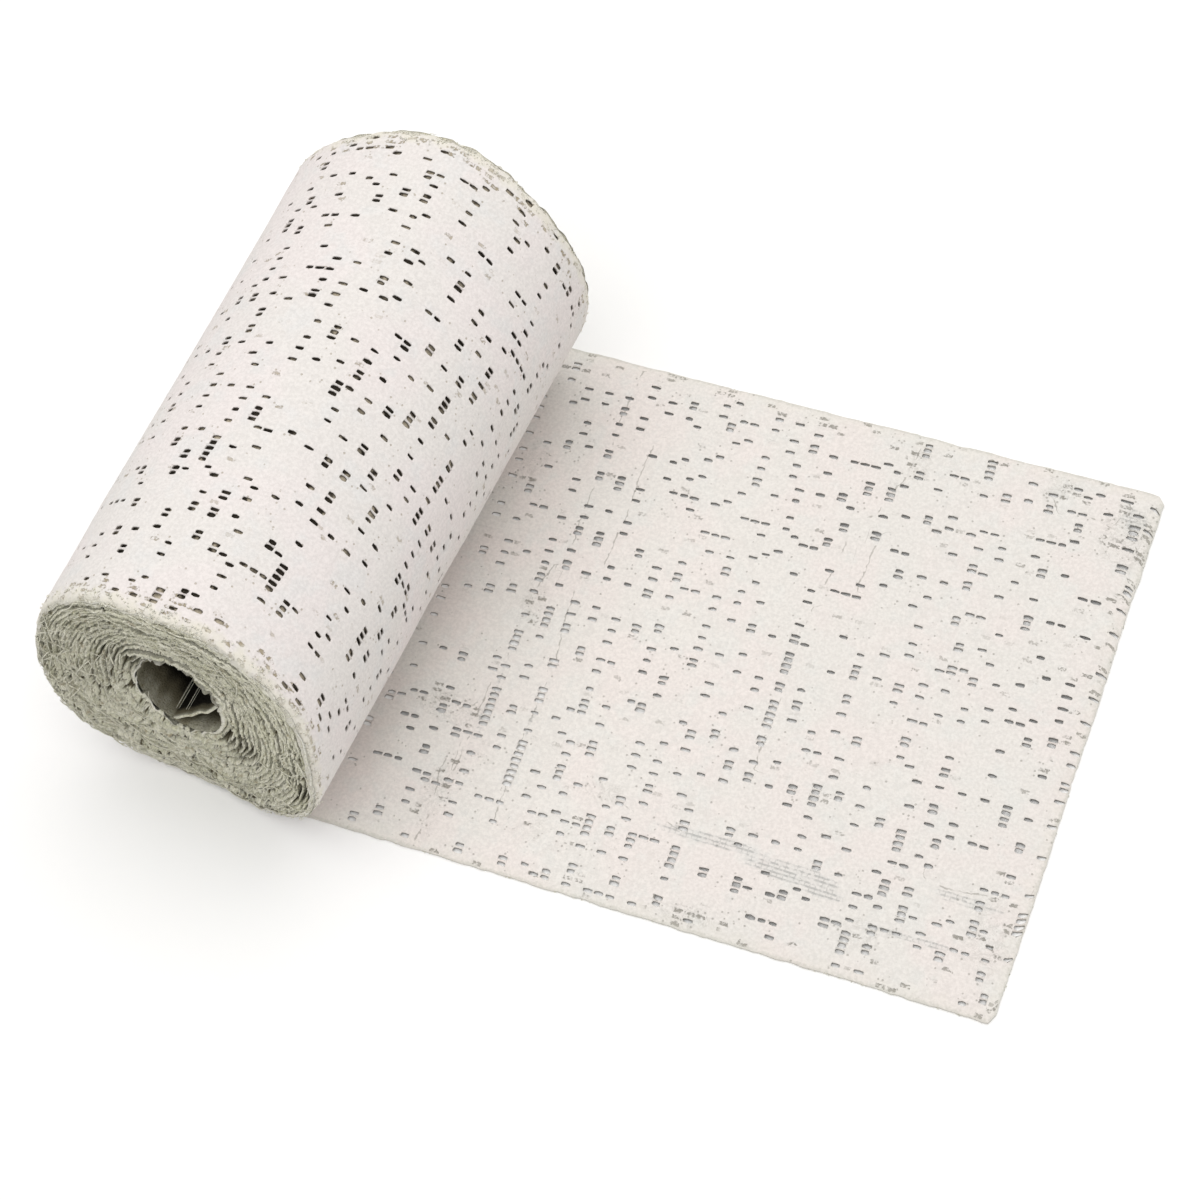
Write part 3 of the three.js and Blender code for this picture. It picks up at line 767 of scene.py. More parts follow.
def build_outer_turn(material):
    cells = open_cells(
        ROLL_COLUMNS,
        roll_share,
        ROLL_MARKS,
        lambda key: FIRST_ROLL_MARK + round(2 * key),
        roll_row,
        ROLL_CELLS_SEED,
    )
    points, faces, cell_mm, depth = gauze_sheet(cells, roll_place, ROLL_HOLES_SEED)
    edge = np.minimum(cell_mm[:, 1], ROWS * CELL_WIDTH - cell_mm[:, 1])
    fields = {
        "cell": cell_mm + ROLL_CELL_SHIFT,
        "depth": depth,
        "edge": np.clip(edge, 0, EDGE_REACH),
        "crack": np.full(len(points), CRACK_REACH),
    }
    fields |= dict.fromkeys(("crack_near", "crackle", "bare"), np.zeros(len(points)))
    piece = make_piece("outer_turn", points, faces, material, fields, sharp=SHEET_SHARP)
    return piece


# The turn below, which shows through the open cells, painted dark as shade

INNER_TURN_GAP = 0.2
INNER_TURN_ROWS = 60
INNER_TURN_COLUMNS = 260
# The inner turn ends just short of both rims
INNER_TURN_INSET = 0.012
# Within this distance of either rim, the turn's painted shade gives way to more tan
PALE_RIM = 11.0


def grid_values(first_values, second_values):
    """Both values at each point of a grid that is stored row by row."""
    first, second = np.meshgrid(first_values, second_values, indexing="ij")
    return first.ravel(), second.ravel()


def build_inner_turn(material):
    along, sweep = grid_values(
        np.linspace(INNER_TURN_INSET, 1 - INNER_TURN_INSET, INNER_TURN_ROWS),
        np.linspace(0, TURN_SWEEP, INNER_TURN_COLUMNS),
    )
    angle = TURN_START - sweep
    depth = GAUZE + INNER_TURN_GAP + SPIRAL_DROP * sweep / TURN_SWEEP
    points = roll_point(angle, along, depth)
    swell = 0.16 * value_noise(points, 2.6, 61)
    points[:, 0] += swell * np.cos(angle)
    points[:, 2] += swell * np.sin(angle)
    points[:, 2] = np.maximum(points[:, 2], 2 * GAUZE + 0.1)
    fields = {"rim": smooth_step(1 - np.minimum(along, 1 - along) * STRIP_WIDTH / PALE_RIM)}
    faces = grid_faces(INNER_TURN_ROWS, INNER_TURN_COLUMNS)
    return make_piece("inner_turn", points, faces, material, fields)


# The wound end faces

FINE_TURNS = 23
FACE_COLUMNS = 440
FACE_SEEDS = {"end_face_front": 101, "end_face_back": 131}
# Distance from the core's middle to the first turn, and to the last
FIRST_TURN_RADIUS = 9.3
LAST_TURN_RADIUS = 27.0
# Across one turn: share of its width, height of the thread edge, painted shade
TURN_PROFILE = [
    (0.00, -1.0, 1.0),
    (0.14, -0.45, 0.6),
    (0.34, 0.16, 0.05),
    (0.58, 0.24, 0.0),
    (0.82, -0.05, 0.3),
]
# Gaps that stand open: turn from the core, angle, half span in degrees, opening
SLITS = [
    (2, 137, 17, 1.5),
    (1, 146, 12, 0.8),
    (2, 96, 30, 0.35),
    (3, 128, 32, 0.4),
    (4, 165, 34, 0.5),
    (5, 150, 40, 0.4),
    (6, 182, 36, 0.6),
    (7, 160, 30, 0.35),
    (8, 186, 30, 0.5),
    (9, 120, 26, 0.3),
    (1, 328, 14, 0.7),
    (2, 326, 18, 0.8),
    (3, 332, 18, 0.65),
    (4, 340, 20, 0.6),
    (5, 330, 24, 0.5),
    (6, 318, 22, 0.35),
    (19, 171, 10, 0.8),
    (17, 166, 14, 0.5),
    (21, 178, 12, 0.4),
    (21, 344, 9, 0.7),
    (20, 348, 9, 0.6),
    (19, 345, 8, 0.5),
    (18, 350, 8, 0.4),
    (20, 60, 18, 0.3),
    (14, 95, 24, 0.3),
    (12, 40, 30, 0.3),
]
# Sectors where turns stand apart: angle, span, share of the way to the rim, reach, strength
OPEN_SECTORS = [
    (135, 60, 0.12, 0.14, 0.8),
    (175, 40, 0.34, 0.08, 0.5),
    (328, 45, 0.14, 0.16, 1.0),
    (345, 22, 0.86, 0.12, 1.0),
    (60, 60, 0.5, 0.3, 0.35),
    (175, 20, 0.85, 0.12, 0.7),
]
# The first turns lean into the core here: angle, half span in degrees, reach
CORE_LIP = [(128, 52, 1.0), (250, 40, 0.3)]


def core_lip(angle):
    reach = np.zeros(np.shape(angle))
    for middle, span, rise in CORE_LIP:
        reach = reach + rise * np.exp(-(turned_away(angle, middle, span) ** 2))
    return reach


def lipped_core(angle, along):
    """The core's rim with its first turns leaning in, less so deep inside."""
    spot = core_point(angle, along)
    reach = core_lip(angle) * np.exp(-np.minimum(along, 1 - along) * 9)
    spot[..., 0] -= reach * np.cos(angle)
    spot[..., 2] -= reach * np.sin(angle)
    return spot


def face_base(angle, share, front):
    """The end face's main form at an angle and a share of the way from the core to the rim."""
    along = np.full(np.shape(angle), 0.0 if front else 1.0)
    inner = lipped_core(angle, along)
    outer = roll_point(angle, along, EDGE_WEAR * 0.62)
    spot = lerp(inner, outer, np.asarray(share)[..., None])
    table = np.array(TURNS_PROUD)
    proud = np.interp(share, np.linspace(0, 1, len(table)), table)
    fade = np.clip(np.minimum(share, 1 - share) / 0.07, 0, 1)
    spot[..., 1] += (-1 if front else 1) * (proud * fade - 0.2)
    return spot


def strand_length(strand):
    """Millimetres of strip from the core to a place on the spiral, given in turns."""
    growth = (LAST_TURN_RADIUS - FIRST_TURN_RADIUS) * strand**2 / (2 * FINE_TURNS)
    return FULL_TURN * (FIRST_TURN_RADIUS * strand + growth)


def strand_noise(length, cell, seed):
    """Noise along the strip, which differs from each turn to the next."""
    period = cell * 31.7
    spot = np.stack([length % period, np.zeros_like(length), length // period * 7.3], -1)
    return value_noise(spot, cell, seed)


def sector_openness(angle, share):
    """How far the turns stand apart by the table of open sectors."""
    best = np.zeros(len(angle))
    for degrees, span, middle, reach, top in OPEN_SECTORS:
        across = turned_away(angle, degrees, span)
        best = np.maximum(best, top * np.exp(-(across**2) - ((share - middle) / reach) ** 2))
    return best


def cut_slits(turn, angle, inside, shift, height, painted_cavity_shade):
    """Open the slits: the turns beside one move apart, and the line in it falls back, painted dark as
    shade.
    """
    for slit_turn, degrees, span, opening in SLITS:
        offset = turn - (slit_turn + 1 + angle / FULL_TURN)
        fall = np.exp(-(turned_away(angle, degrees, span) ** 2) * 1.4)
        side = np.sign(np.round(offset, 3))
        shift = shift + opening / 2 * side * fall * np.exp(-np.abs(offset) / 1.5) * inside
        at_slit = (side == 0) & (fall > 0.08)
        height = np.where(at_slit, height - 2.8 * opening * fall, height)
        painted_cavity_shade = np.where(at_slit, np.maximum(painted_cavity_shade, fall * (0.9 + 0.5 * opening)), painted_cavity_shade)
    return shift, height, painted_cavity_shade


def face_pits(angle, ring, inside, rng, seed):
    """Which points are small pits, where cells of the gauze are cut open at the edge."""
    low_side = smooth_step(0.7 - np.sin(angle) * 0.8)
    clump = smooth_step(0.5 + value_noise(ring, 2.4, seed + 10))
    grain = value_noise(ring, 0.62, seed + 15) + 0.25 * (low_side - 1) + 0.2 * (clump - 0.5)
    pits = (rng.random(len(ring)) < 0.1 * (0.16 + low_side) * clump) | (grain > 0.57)
    return pits & (inside > 0.9)


def spiral_faces(lines, share, front):
    """Faces of a spiral's lines of points. The last column is the first, a turn further out."""
    columns = FACE_COLUMNS + 1
    place = np.arange(lines * columns)
    row, column = place // columns, place % columns
    next_turn = np.minimum(row + len(TURN_PROFILE), lines - 1) * columns
    merged = np.where(column == FACE_COLUMNS, next_turn, place)
    keep = {}
    for k in np.flatnonzero((share <= 0) | (share >= 1)):
        merged[k] = keep.setdefault((column[k] % FACE_COLUMNS, share[k] >= 1), k)
    return merged[np.array(grid_faces(lines, columns, flip=not front))].tolist()


def build_end_face(name, front, material):
    """A spiral of thread edges: each line of points runs on into the next turn's."""
    seed = FACE_SEEDS[name]
    rng = np.random.default_rng(seed)
    steps = len(TURN_PROFILE)
    lines = (FINE_TURNS + 1) * steps + 1
    line, column = grid_values(np.arange(lines), np.arange(FACE_COLUMNS + 1))
    profile = np.array(TURN_PROFILE)
    kind = line % steps
    angle = column / FACE_COLUMNS * FULL_TURN
    strand = line // steps + column / FACE_COLUMNS
    turn = strand + profile[kind, 0]
    share = np.clip((turn - 1) / FINE_TURNS, 0, 1)
    flat_points = face_base(angle, share**0.86, front)
    outward = -1.0 if front else 1.0

    away = flat_points - np.array([CORE["x"], 0, FRONT_RADIUS if front else BACK_RADIUS])
    radius = np.hypot(away[:, 0], away[:, 2])
    direction = np.stack([away[:, 0] / radius, np.zeros_like(radius), away[:, 2] / radius], -1)
    inside = smooth_step(np.minimum(share, 1 - share) * 16)
    length = strand_length(strand)
    ring = np.stack([np.cos(angle) * radius, np.sin(angle) * radius, np.zeros_like(angle)], -1)

    def along(cell, step):
        return strand_noise(length, cell, seed + step)

    def across(cell, step):
        return value_noise(ring, cell, seed + step)

    # Turns wander, stand in and out, and fray
    shift = inside * (0.24 * along(8.0, 0) + 0.13 * along(1.7, 1))
    shift += inside * 0.35 * across(6.0, 7)
    crest = kind != 0
    next_to_gap = 0.5 + 0.5 * along(9.0, 2)
    gaps = 0.3 * next_to_gap * (0.4 + 0.8 * (0.5 + 0.5 * across(5.0, 8)))
    openness = np.clip(gaps + sector_openness(angle, share) * (0.3 + next_to_gap), 0.04, 1)
    height = profile[kind, 1] * np.where(crest, 1.0, 0.25 + 0.95 * openness)
    # Painted shade between the turns, deeper where they stand apart
    painted_cavity_shade = profile[kind, 2] * (0.15 + 0.95 * openness)
    height += inside * 0.42 * along(11.0, 3)
    height += inside * crest * (0.2 * along(0.8, 4) + rng.normal(0, 0.1, len(ring)))
    height += inside * 0.16 * across(1.3, 9)
    shift, height, painted_cavity_shade = cut_slits(turn, angle, inside, shift, height, painted_cavity_shade)
    pits = face_pits(angle, ring, inside, rng, seed)
    height = np.where(pits, height - rng.uniform(0.35, 0.95, len(ring)), height)
    # Pits are painted dark as shade
    painted_cavity_shade = np.where(pits, rng.uniform(0.8, 1.25, len(ring)), painted_cavity_shade)
    shift += rng.normal(0, 0.05, len(ring)) * inside

    points = flat_points + direction * shift[:, None]
    points[:, 1] += outward * height * (0.15 + 0.85 * inside)
    from_core = (share * FINE_TURNS) ** 2
    fringe = np.exp(-from_core / 1.2)
    frayed = along(0.9, 5) + 0.6 * along(2.3, 11)
    points[:, 1] += outward * fringe * (0.3 + 0.55 * frayed)
    points -= direction * (fringe * 0.3 * along(1.0, 12))[:, None]
    rim = smooth_step((share - 0.93) / 0.05)
    points[:, 1] += outward * rim * (0.1 + 0.35 * across(1.5, 13))
    fields = {
        "painted_cavity_shade": np.clip(painted_cavity_shade, 0, 1.5),
        "mottle": 0.6 * along(3.5, 6) + 0.5 * across(3.2, 14),
        "thread": np.stack([length, turn * 0.85, np.zeros_like(turn)], -1),
        "plaster": np.maximum(rim, 0.9 * np.exp(-from_core / 0.5)),
    }
    return make_piece(name, points, spiral_faces(lines, share, front), material, fields)


# The open core and the strip's inner end in it

BORE_ROWS = 40
BORE_COLUMNS = 121
TONGUE_STEPS = 34
TONGUE_ROWS = 46
TONGUE_THICKNESS = 0.62
# How far the tongue's front edge stands back, from its low end to its high one
TONGUE_SLANT = (-1.2, 2.4)


def build_bore(material):
    along, angle = grid_values(
        np.linspace(0.0, 1.0, BORE_ROWS), np.linspace(0, FULL_TURN, BORE_COLUMNS)
    )
    points = lipped_core(angle, along)
    across = points[:, 0] - CORE["x"]
    centre = np.stack([across, np.zeros_like(angle), CORE["half_height"] * np.sin(angle)], -1)
    direction = centre / np.linalg.norm(centre, axis=1)[:, None]
    ring = np.stack([np.cos(angle) * 9, points[:, 1] * 0.3, np.sin(angle) * 9], -1)
    crease = 0.35 * value_noise(ring, 2.6, 71) + 0.2 * value_noise(ring * [2.5, 1, 2.5], 2.2, 72)
    from_mouth = np.minimum(along, 1 - along)
    points = points + direction * (crease * smooth_step(from_mouth * 18))[:, None]
    grid = points.reshape(BORE_ROWS, BORE_COLUMNS, 3)
    grid[:, -1] = grid[:, 0]

    # Painted shade: darker with depth, sooner on the right than on the left, and painted lighter low on
    # the right
    left = 0.5 - 0.5 * np.cos(angle)
    painted_cavity_shade = 0.66 + 0.75 * smooth_step(from_mouth * STRIP_WIDTH / (3.5 + 6.5 * left))
    painted_cavity_shade += 0.2 * value_noise(ring, 1.5, 73)
    painted_cavity_shade -= 0.3 * np.exp(-(((angle - math.radians(305)) / math.radians(32)) ** 2))
    fields = {
        "painted_cavity_shade": np.clip(painted_cavity_shade, 0, 1.3),
        "mottle": value_noise(ring, 3.0, 74),
        "thread": np.stack([points[:, 1] * 3, angle * 9, np.zeros_like(angle)], -1),
    }
    faces = grid_faces(BORE_ROWS, BORE_COLUMNS)
    return make_piece("bore", grid.reshape(-1, 3), faces, material, fields)


def tongue_section(steps):
    """Points along the inner end's curve, as a smooth line through the table's points."""
    table = np.array(TONGUE_CURVE)
    reach = np.concatenate([[0], np.cumsum(np.linalg.norm(np.diff(table, axis=0), axis=1))])
    wanted = np.linspace(0, reach[-1], steps)
    line = np.stack([np.interp(wanted, reach, table[:, k]) for k in (0, 1)], -1)
    for _ in range(3):
        line[1:-1] = (line[:-2] + 2 * line[1:-1] + line[2:]) / 4
    return line


def build_inner_end(material):
    across, deep = TONGUE_STEPS, TONGUE_ROWS
    line = tongue_section(across)
    tangent = np.gradient(line, axis=0)
    tangent /= np.linalg.norm(tangent, axis=1)[:, None]
    side = np.stack([-tangent[:, 1], tangent[:, 0]], -1)
    set_back = CORE_SET_BACK + 0.4
    upright = np.stack([line[:, 0], line[:, 1], line[:, 0] * 0], -1)
    front_edge = 0.55 * value_noise(upright, 2.4, 81) + np.linspace(*TONGUE_SLANT, across)
    sheets, painted_cavity_shade = [], []
    for face in (1, -1):
        for k, share in enumerate(np.linspace(0, 1, deep) ** 1.6):
            y = lerp(set_back, STRIP_WIDTH - set_back, share) + front_edge * (1 - share)
            wobble = 0.3 * value_noise(np.stack([line[:, 0], y * 0.25, line[:, 1]], -1), 2.5, 82)
            half = TONGUE_THICKNESS / 2 * (0.75 if k in (0, deep - 1) else 1)
            flat = line + side * (face * half + wobble * smooth_step(share * 20))[:, None]
            sheets.append(np.stack([CORE["x"] + flat[:, 0], y, core_height(share) + flat[:, 1]], -1))
            # Painted shade on the inner end, darker deeper inside the core
            painted_cavity_shade.append(np.full(across, 0.0 if k == 0 else min(0.3 + 0.25 * k, 1.3)))
    points = np.concatenate(sheets)
    half_count = across * deep
    faces = grid_faces(deep, across) + grid_faces(deep, across, first=half_count, flip=True)
    for k in range(across - 1):
        faces.append([k + 1, k, half_count + k, half_count + k + 1])
        last = half_count - across
        faces.append([last + k, last + k + 1, half_count + last + k + 1, half_count + last + k])
    for k in range(deep - 1):
        a, b = k * across, (k + 1) * across
        faces.append([a, b, half_count + b, half_count + a])
        a, b = a + across - 1, b + across - 1
        faces.append([b, a, half_count + a, half_count + b])
    mottle = value_noise(points, 3.0, 83)
    fields = {"painted_cavity_shade": np.concatenate(painted_cavity_shade), "mottle": mottle, "thread": points * [1, 3, 1]}
    return make_piece("inner_end", points, faces, material, fields, sharp=50)


# Stray threads and crumbs

TUBE_SIDES = 4
STRAYS_IN_FRONT = 170
STRAYS_BEHIND = 120
FUZZ_TRIES = 420
CRUMB_TRIES = 1300
THREADS_SEED = 5
CRUMBS_SEED = 211
# Rim fuzz and crumbs are left out below these heights, where the roll meets the table
FUZZ_LOWEST = 2.0
CRUMB_LOWEST = 4.0
# Taut threads along the inner end: x and z from the core's middle, and radius
CORE_STREAKS = [(-3.0, -8.7, 0.13), (-2.4, -8.4, 0.08), (-0.8, -7.6, 0.09), (-0.3, -7.3, 0.06)]


def thread_tube(path, radius):
    """Points and faces of a thin tube along a path."""
    path = np.asarray(path, float)
    ahead = np.gradient(path, axis=0)
    ahead /= np.linalg.norm(ahead, axis=1)[:, None]
    first = np.cross(ahead, [0.31, 0.22, 0.93])
    first /= np.linalg.norm(first, axis=1)[:, None]
    second = np.cross(ahead, first)
    taper = np.interp(np.linspace(0, 1, len(path)), [0, 0.12, 0.88, 1], [0.4, 1, 1, 0.4])
    points, faces = [], []
    for k in range(len(path)):
        for s in range(TUBE_SIDES):
            turn = FULL_TURN * s / TUBE_SIDES
            ring = math.cos(turn) * first[k] + math.sin(turn) * second[k]
            points.append(path[k] + ring * radius * taper[k])
    for a in range(0, len(points) - TUBE_SIDES, TUBE_SIDES):
        b = a + TUBE_SIDES
        for s in range(TUBE_SIDES):
            n = (s + 1) % TUBE_SIDES
            faces.append([a + s, a + n, b + n, b + s])
    faces.append(list(range(TUBE_SIDES))[::-1])
    faces.append(list(range(len(points) - TUBE_SIDES, len(points))))
    return points, faces


def face_threads(rng, front, count):
    """Threads that lie across the turns of an end face, most of them on its outer left."""
    outward = -1.0 if front else 1.0
    paths = []
    for _ in range(count):
        degrees = rng.normal(188, 42) if rng.random() < 0.55 else rng.uniform(0, 360)
        share = float(np.clip(rng.normal(0.72, 0.2), 0.12, 0.96))
        span = math.radians(rng.uniform(7, 26)) / (0.4 + share)
        slope = rng.normal(0, 0.07)
        bend = rng.normal(0, 0.05)
        t = np.linspace(-1, 1, 9)
        angle = math.radians(degrees) + t * span / 2
        shares = np.clip(share + slope * t + bend * (t**2 - 0.4), 0.05, 0.985)
        path = face_base(angle, shares, front)
        path[:, 1] += outward * (0.5 + 0.18 * np.sin(t * 3 + rng.uniform(0, 6)))
        paths.append((path, rng.uniform(0.08, 0.15)))
    return paths


def rim_fuzz_path(rng, t, size):
    """A thread end that stands off the roll's front rim, or None low at the table."""
    angle = rng.uniform(0, FULL_TURN)
    start = roll_point(np.array([angle]), 0.0, EDGE_WEAR * rng.uniform(0.6, 1.2))[0]
    if start[2] < FUZZ_LOWEST:
        return None
    inward = rng.uniform(-0.1, 0.9)
    away = np.array([-math.cos(angle) * inward, -0.5, -math.sin(angle) * inward])
    side = np.array([-math.sin(angle), 0, math.cos(angle)]) * rng.normal(0, 1.0)
    return start + t[:, None] * size * away + (t**2)[:, None] * size * side


def loose_fuzz_path(rng, t, size):
    """A thread end at the loose end's cut end or at one of its selvages."""
    if rng.random() < 0.45:
        length, width = LOOSE_LENGTH - 0.2, rng.uniform(5, LOOSE_WIDTH - 5)
        away = np.array([0.6, rng.normal(0, 0.8), 0])
    else:
        back = rng.random() < 0.5
        length, width = rng.uniform(24, LOOSE_LENGTH - 5), LOOSE_WIDTH - 0.2 if back else 0.2
        away = np.array([rng.normal(0, 1.0), 0.6 if back else -0.6, 0])
    height = 0.25 + 0.1 * rng.random()
    path = np.array([*table_place(length, width), height]) + t[:, None] * size * 0.7 * away
    path[:, 2] += -0.15 * t**2
    return path


def edge_fuzz(rng, tries):
    """Short thread ends round the roll's front rim and at the loose end's edges."""
    t = np.linspace(0, 1, 5)
    paths = []
    for _ in range(tries):
        size = rng.uniform(0.3, 0.8)
        make_path = rim_fuzz_path if rng.random() < 0.5 else loose_fuzz_path
        path = make_path(rng, t, size)
        if path is not None:
            paths.append((path, rng.uniform(0.045, 0.08)))
    return paths


def core_streaks():
    """Fine taut threads that run back along the inner end and catch the light."""
    t = np.linspace(0, 1, 9)
    paths = []
    for x, z, radius in CORE_STREAKS:
        height = core_height(0.0) + z + 0.5 + 0.3 * t
        paths.append((np.stack([CORE["x"] + x + 0.2 * t, 3.2 + 26 * t, height], -1), radius))
    return paths


def crumb(rng, middle, size):
    """Points and faces of one lump of plaster."""
    corners = [(1, 0, 0), (0, 1, 0), (-1, 0, 0), (0, -1, 0), (0, 0, 1), (0, 0, -1)]
    points = [middle + np.array(corner) * size * rng.uniform(0.6, 1.25) for corner in corners]
    pairs = ((0, 1), (1, 2), (2, 3), (3, 0))
    return points, [[a, b, 4] for a, b in pairs] + [[b, a, 5] for a, b in pairs]


def build_crumbs(material):
    """Crumbled plaster on the rims of both ends of the roll, most of it on the upper half."""
    rng = np.random.default_rng(CRUMBS_SEED)
    lumps = []
    for _ in range(CRUMB_TRIES):
        degrees = rng.uniform(-60, 240) if rng.random() < 0.3 else rng.normal(85, 45)
        front = rng.random() < 0.6
        from_rim = abs(rng.normal(0, 0.9)) / STRIP_WIDTH
        worn = EDGE_WEAR * 0.75 * smooth_step(1 - from_rim * STRIP_WIDTH / EDGE_WEAR / 1.5)
        along = from_rim if front else 1 - from_rim
        middle = roll_point(np.array([math.radians(degrees)]), along, worn + 0.06)[0]
        if middle[2] >= CRUMB_LOWEST:
            lumps.append(crumb(rng, middle, rng.uniform(0.12, 0.28)))
    points, faces = joined(lumps)
    count = len(points)
    fields = {"painted_cavity_shade": np.zeros(count), "mottle": np.full(count, 0.8), "plaster": np.ones(count)}
    fields["thread"] = np.array(points)
    return make_piece("plaster_crumbs", points, faces, material, fields)


def build_threads(name, paths, material, painted_thread_shade):
    points, faces = joined([thread_tube(path, radius) for path, radius in paths])
    count = len(points)
    # One level of painted shade for each set of threads
    fields = {"painted_cavity_shade": np.full(count, painted_thread_shade), "mottle": np.full(count, 0.8)}
    fields["thread"] = np.array(points) * 2.0
    return make_piece(name, points, faces, material, fields)


# Materials


class Wire:
    """A value in a material's node tree. Arithmetic with it adds math nodes."""

    def __init__(self, recipe, socket):
        self.recipe = recipe
        self.socket = socket

    def __add__(self, other):
        return self.recipe.math("ADD", self, other)

    def __sub__(self, other):
        return self.recipe.math("SUBTRACT", self, other)

    def __rsub__(self, other):
        return self.recipe.math("SUBTRACT", other, self)

    def __mul__(self, other):
        return self.recipe.math("MULTIPLY", self, other)

    def __abs__(self):
        return self.recipe.math("ABSOLUTE", self)

    def from_middle(self):
        """How far the value is from halfway between two whole numbers."""
        return abs(self.recipe.math("FRACT", self) - 0.5)


class Recipe:
    """A material's node tree, built by short calls that return wires."""

    def __init__(self, name):
        self.material = bpy.data.materials.new(name)
        self.material.use_nodes = True
        self.nodes = self.material.node_tree.nodes
        self.links = self.material.node_tree.links
        self.shader = self.nodes["Principled BSDF"]
        position = self.add("ShaderNodeTexCoord", ["Object"])
        self.mm = self.add("ShaderNodeVectorMath", [0], {0: position, 3: 1000.0}, operation="SCALE")

    def add(self, kind, outputs, inputs=(), **settings):
        """A new node. Returns the wire of its one wanted output, or a list of several."""
        node = self.nodes.new(kind)
        for key, value in settings.items():
            setattr(node, key, value)
        for key, value in dict(inputs).items():
            self.put(node.inputs[key], value)
        wires = [Wire(self, node.outputs[key]) for key in outputs]
        return wires if len(wires) > 1 else wires[0]

    def put(self, socket, value):
        if isinstance(value, Wire):
            self.links.new(value.socket, socket)
        else:
            socket.default_value = value

    def field(self, name, output="Fac"):
        return self.add("ShaderNodeAttribute", [output], attribute_name=name)

    def math(self, operation, a, b=None):
        inputs = {0: a} if b is None else {0: a, 1: b}
        return self.add("ShaderNodeMath", [0], inputs, operation=operation)

    def ramp(self, value, low, high, to_low=0.0, to_high=1.0):
        inputs = {"Value": value, "From Min": low, "From Max": high, "To Min": to_low, "To Max": to_high}
        return self.add("ShaderNodeMapRange", [0], inputs, interpolation_type="SMOOTHSTEP")

    def noise(self, size, detail=2.0, roughness=0.5, offset=None, vector=None, distortion=0.0):
        """Noise with features about size millimetres across."""
        vector = vector or self.mm
        if offset:
            vector = self.add("ShaderNodeVectorMath", [0], {0: vector, 1: offset}, operation="ADD")
        inputs = {
            "Vector": vector,
            "Scale": 1.0 / size,
            "Detail": detail,
            "Roughness": roughness,
            "Distortion": distortion,
        }
        return self.add("ShaderNodeTexNoise", ["Fac"], inputs)

    def mix(self, share, a, b, blend="MIX"):
        return self.add("ShaderNodeMix", [2], {0: share, 6: a, 7: b}, data_type="RGBA", blend_type=blend)

    def stretch(self, vector, factors):
        return self.add("ShaderNodeVectorMath", [0], {0: vector, 1: factors}, operation="MULTIPLY")

    def finish(self, colour, roughness, specular, relief=None, distance=0.0):
        """Set the shader, with a bump of so many millimetres. Returns the material."""
        values = {"Base Color": colour, "Roughness": roughness, "Specular IOR Level": specular}
        if relief:
            inputs = {"Height": relief, "Distance": distance / 1000}
            values["Normal"] = self.add("ShaderNodeBump", [0], inputs)
        for key, value in values.items():
            self.put(self.shader.inputs[key], value)
        return self.material


def rgb(red, green, blue):
    return (red, green, blue, 1.0)


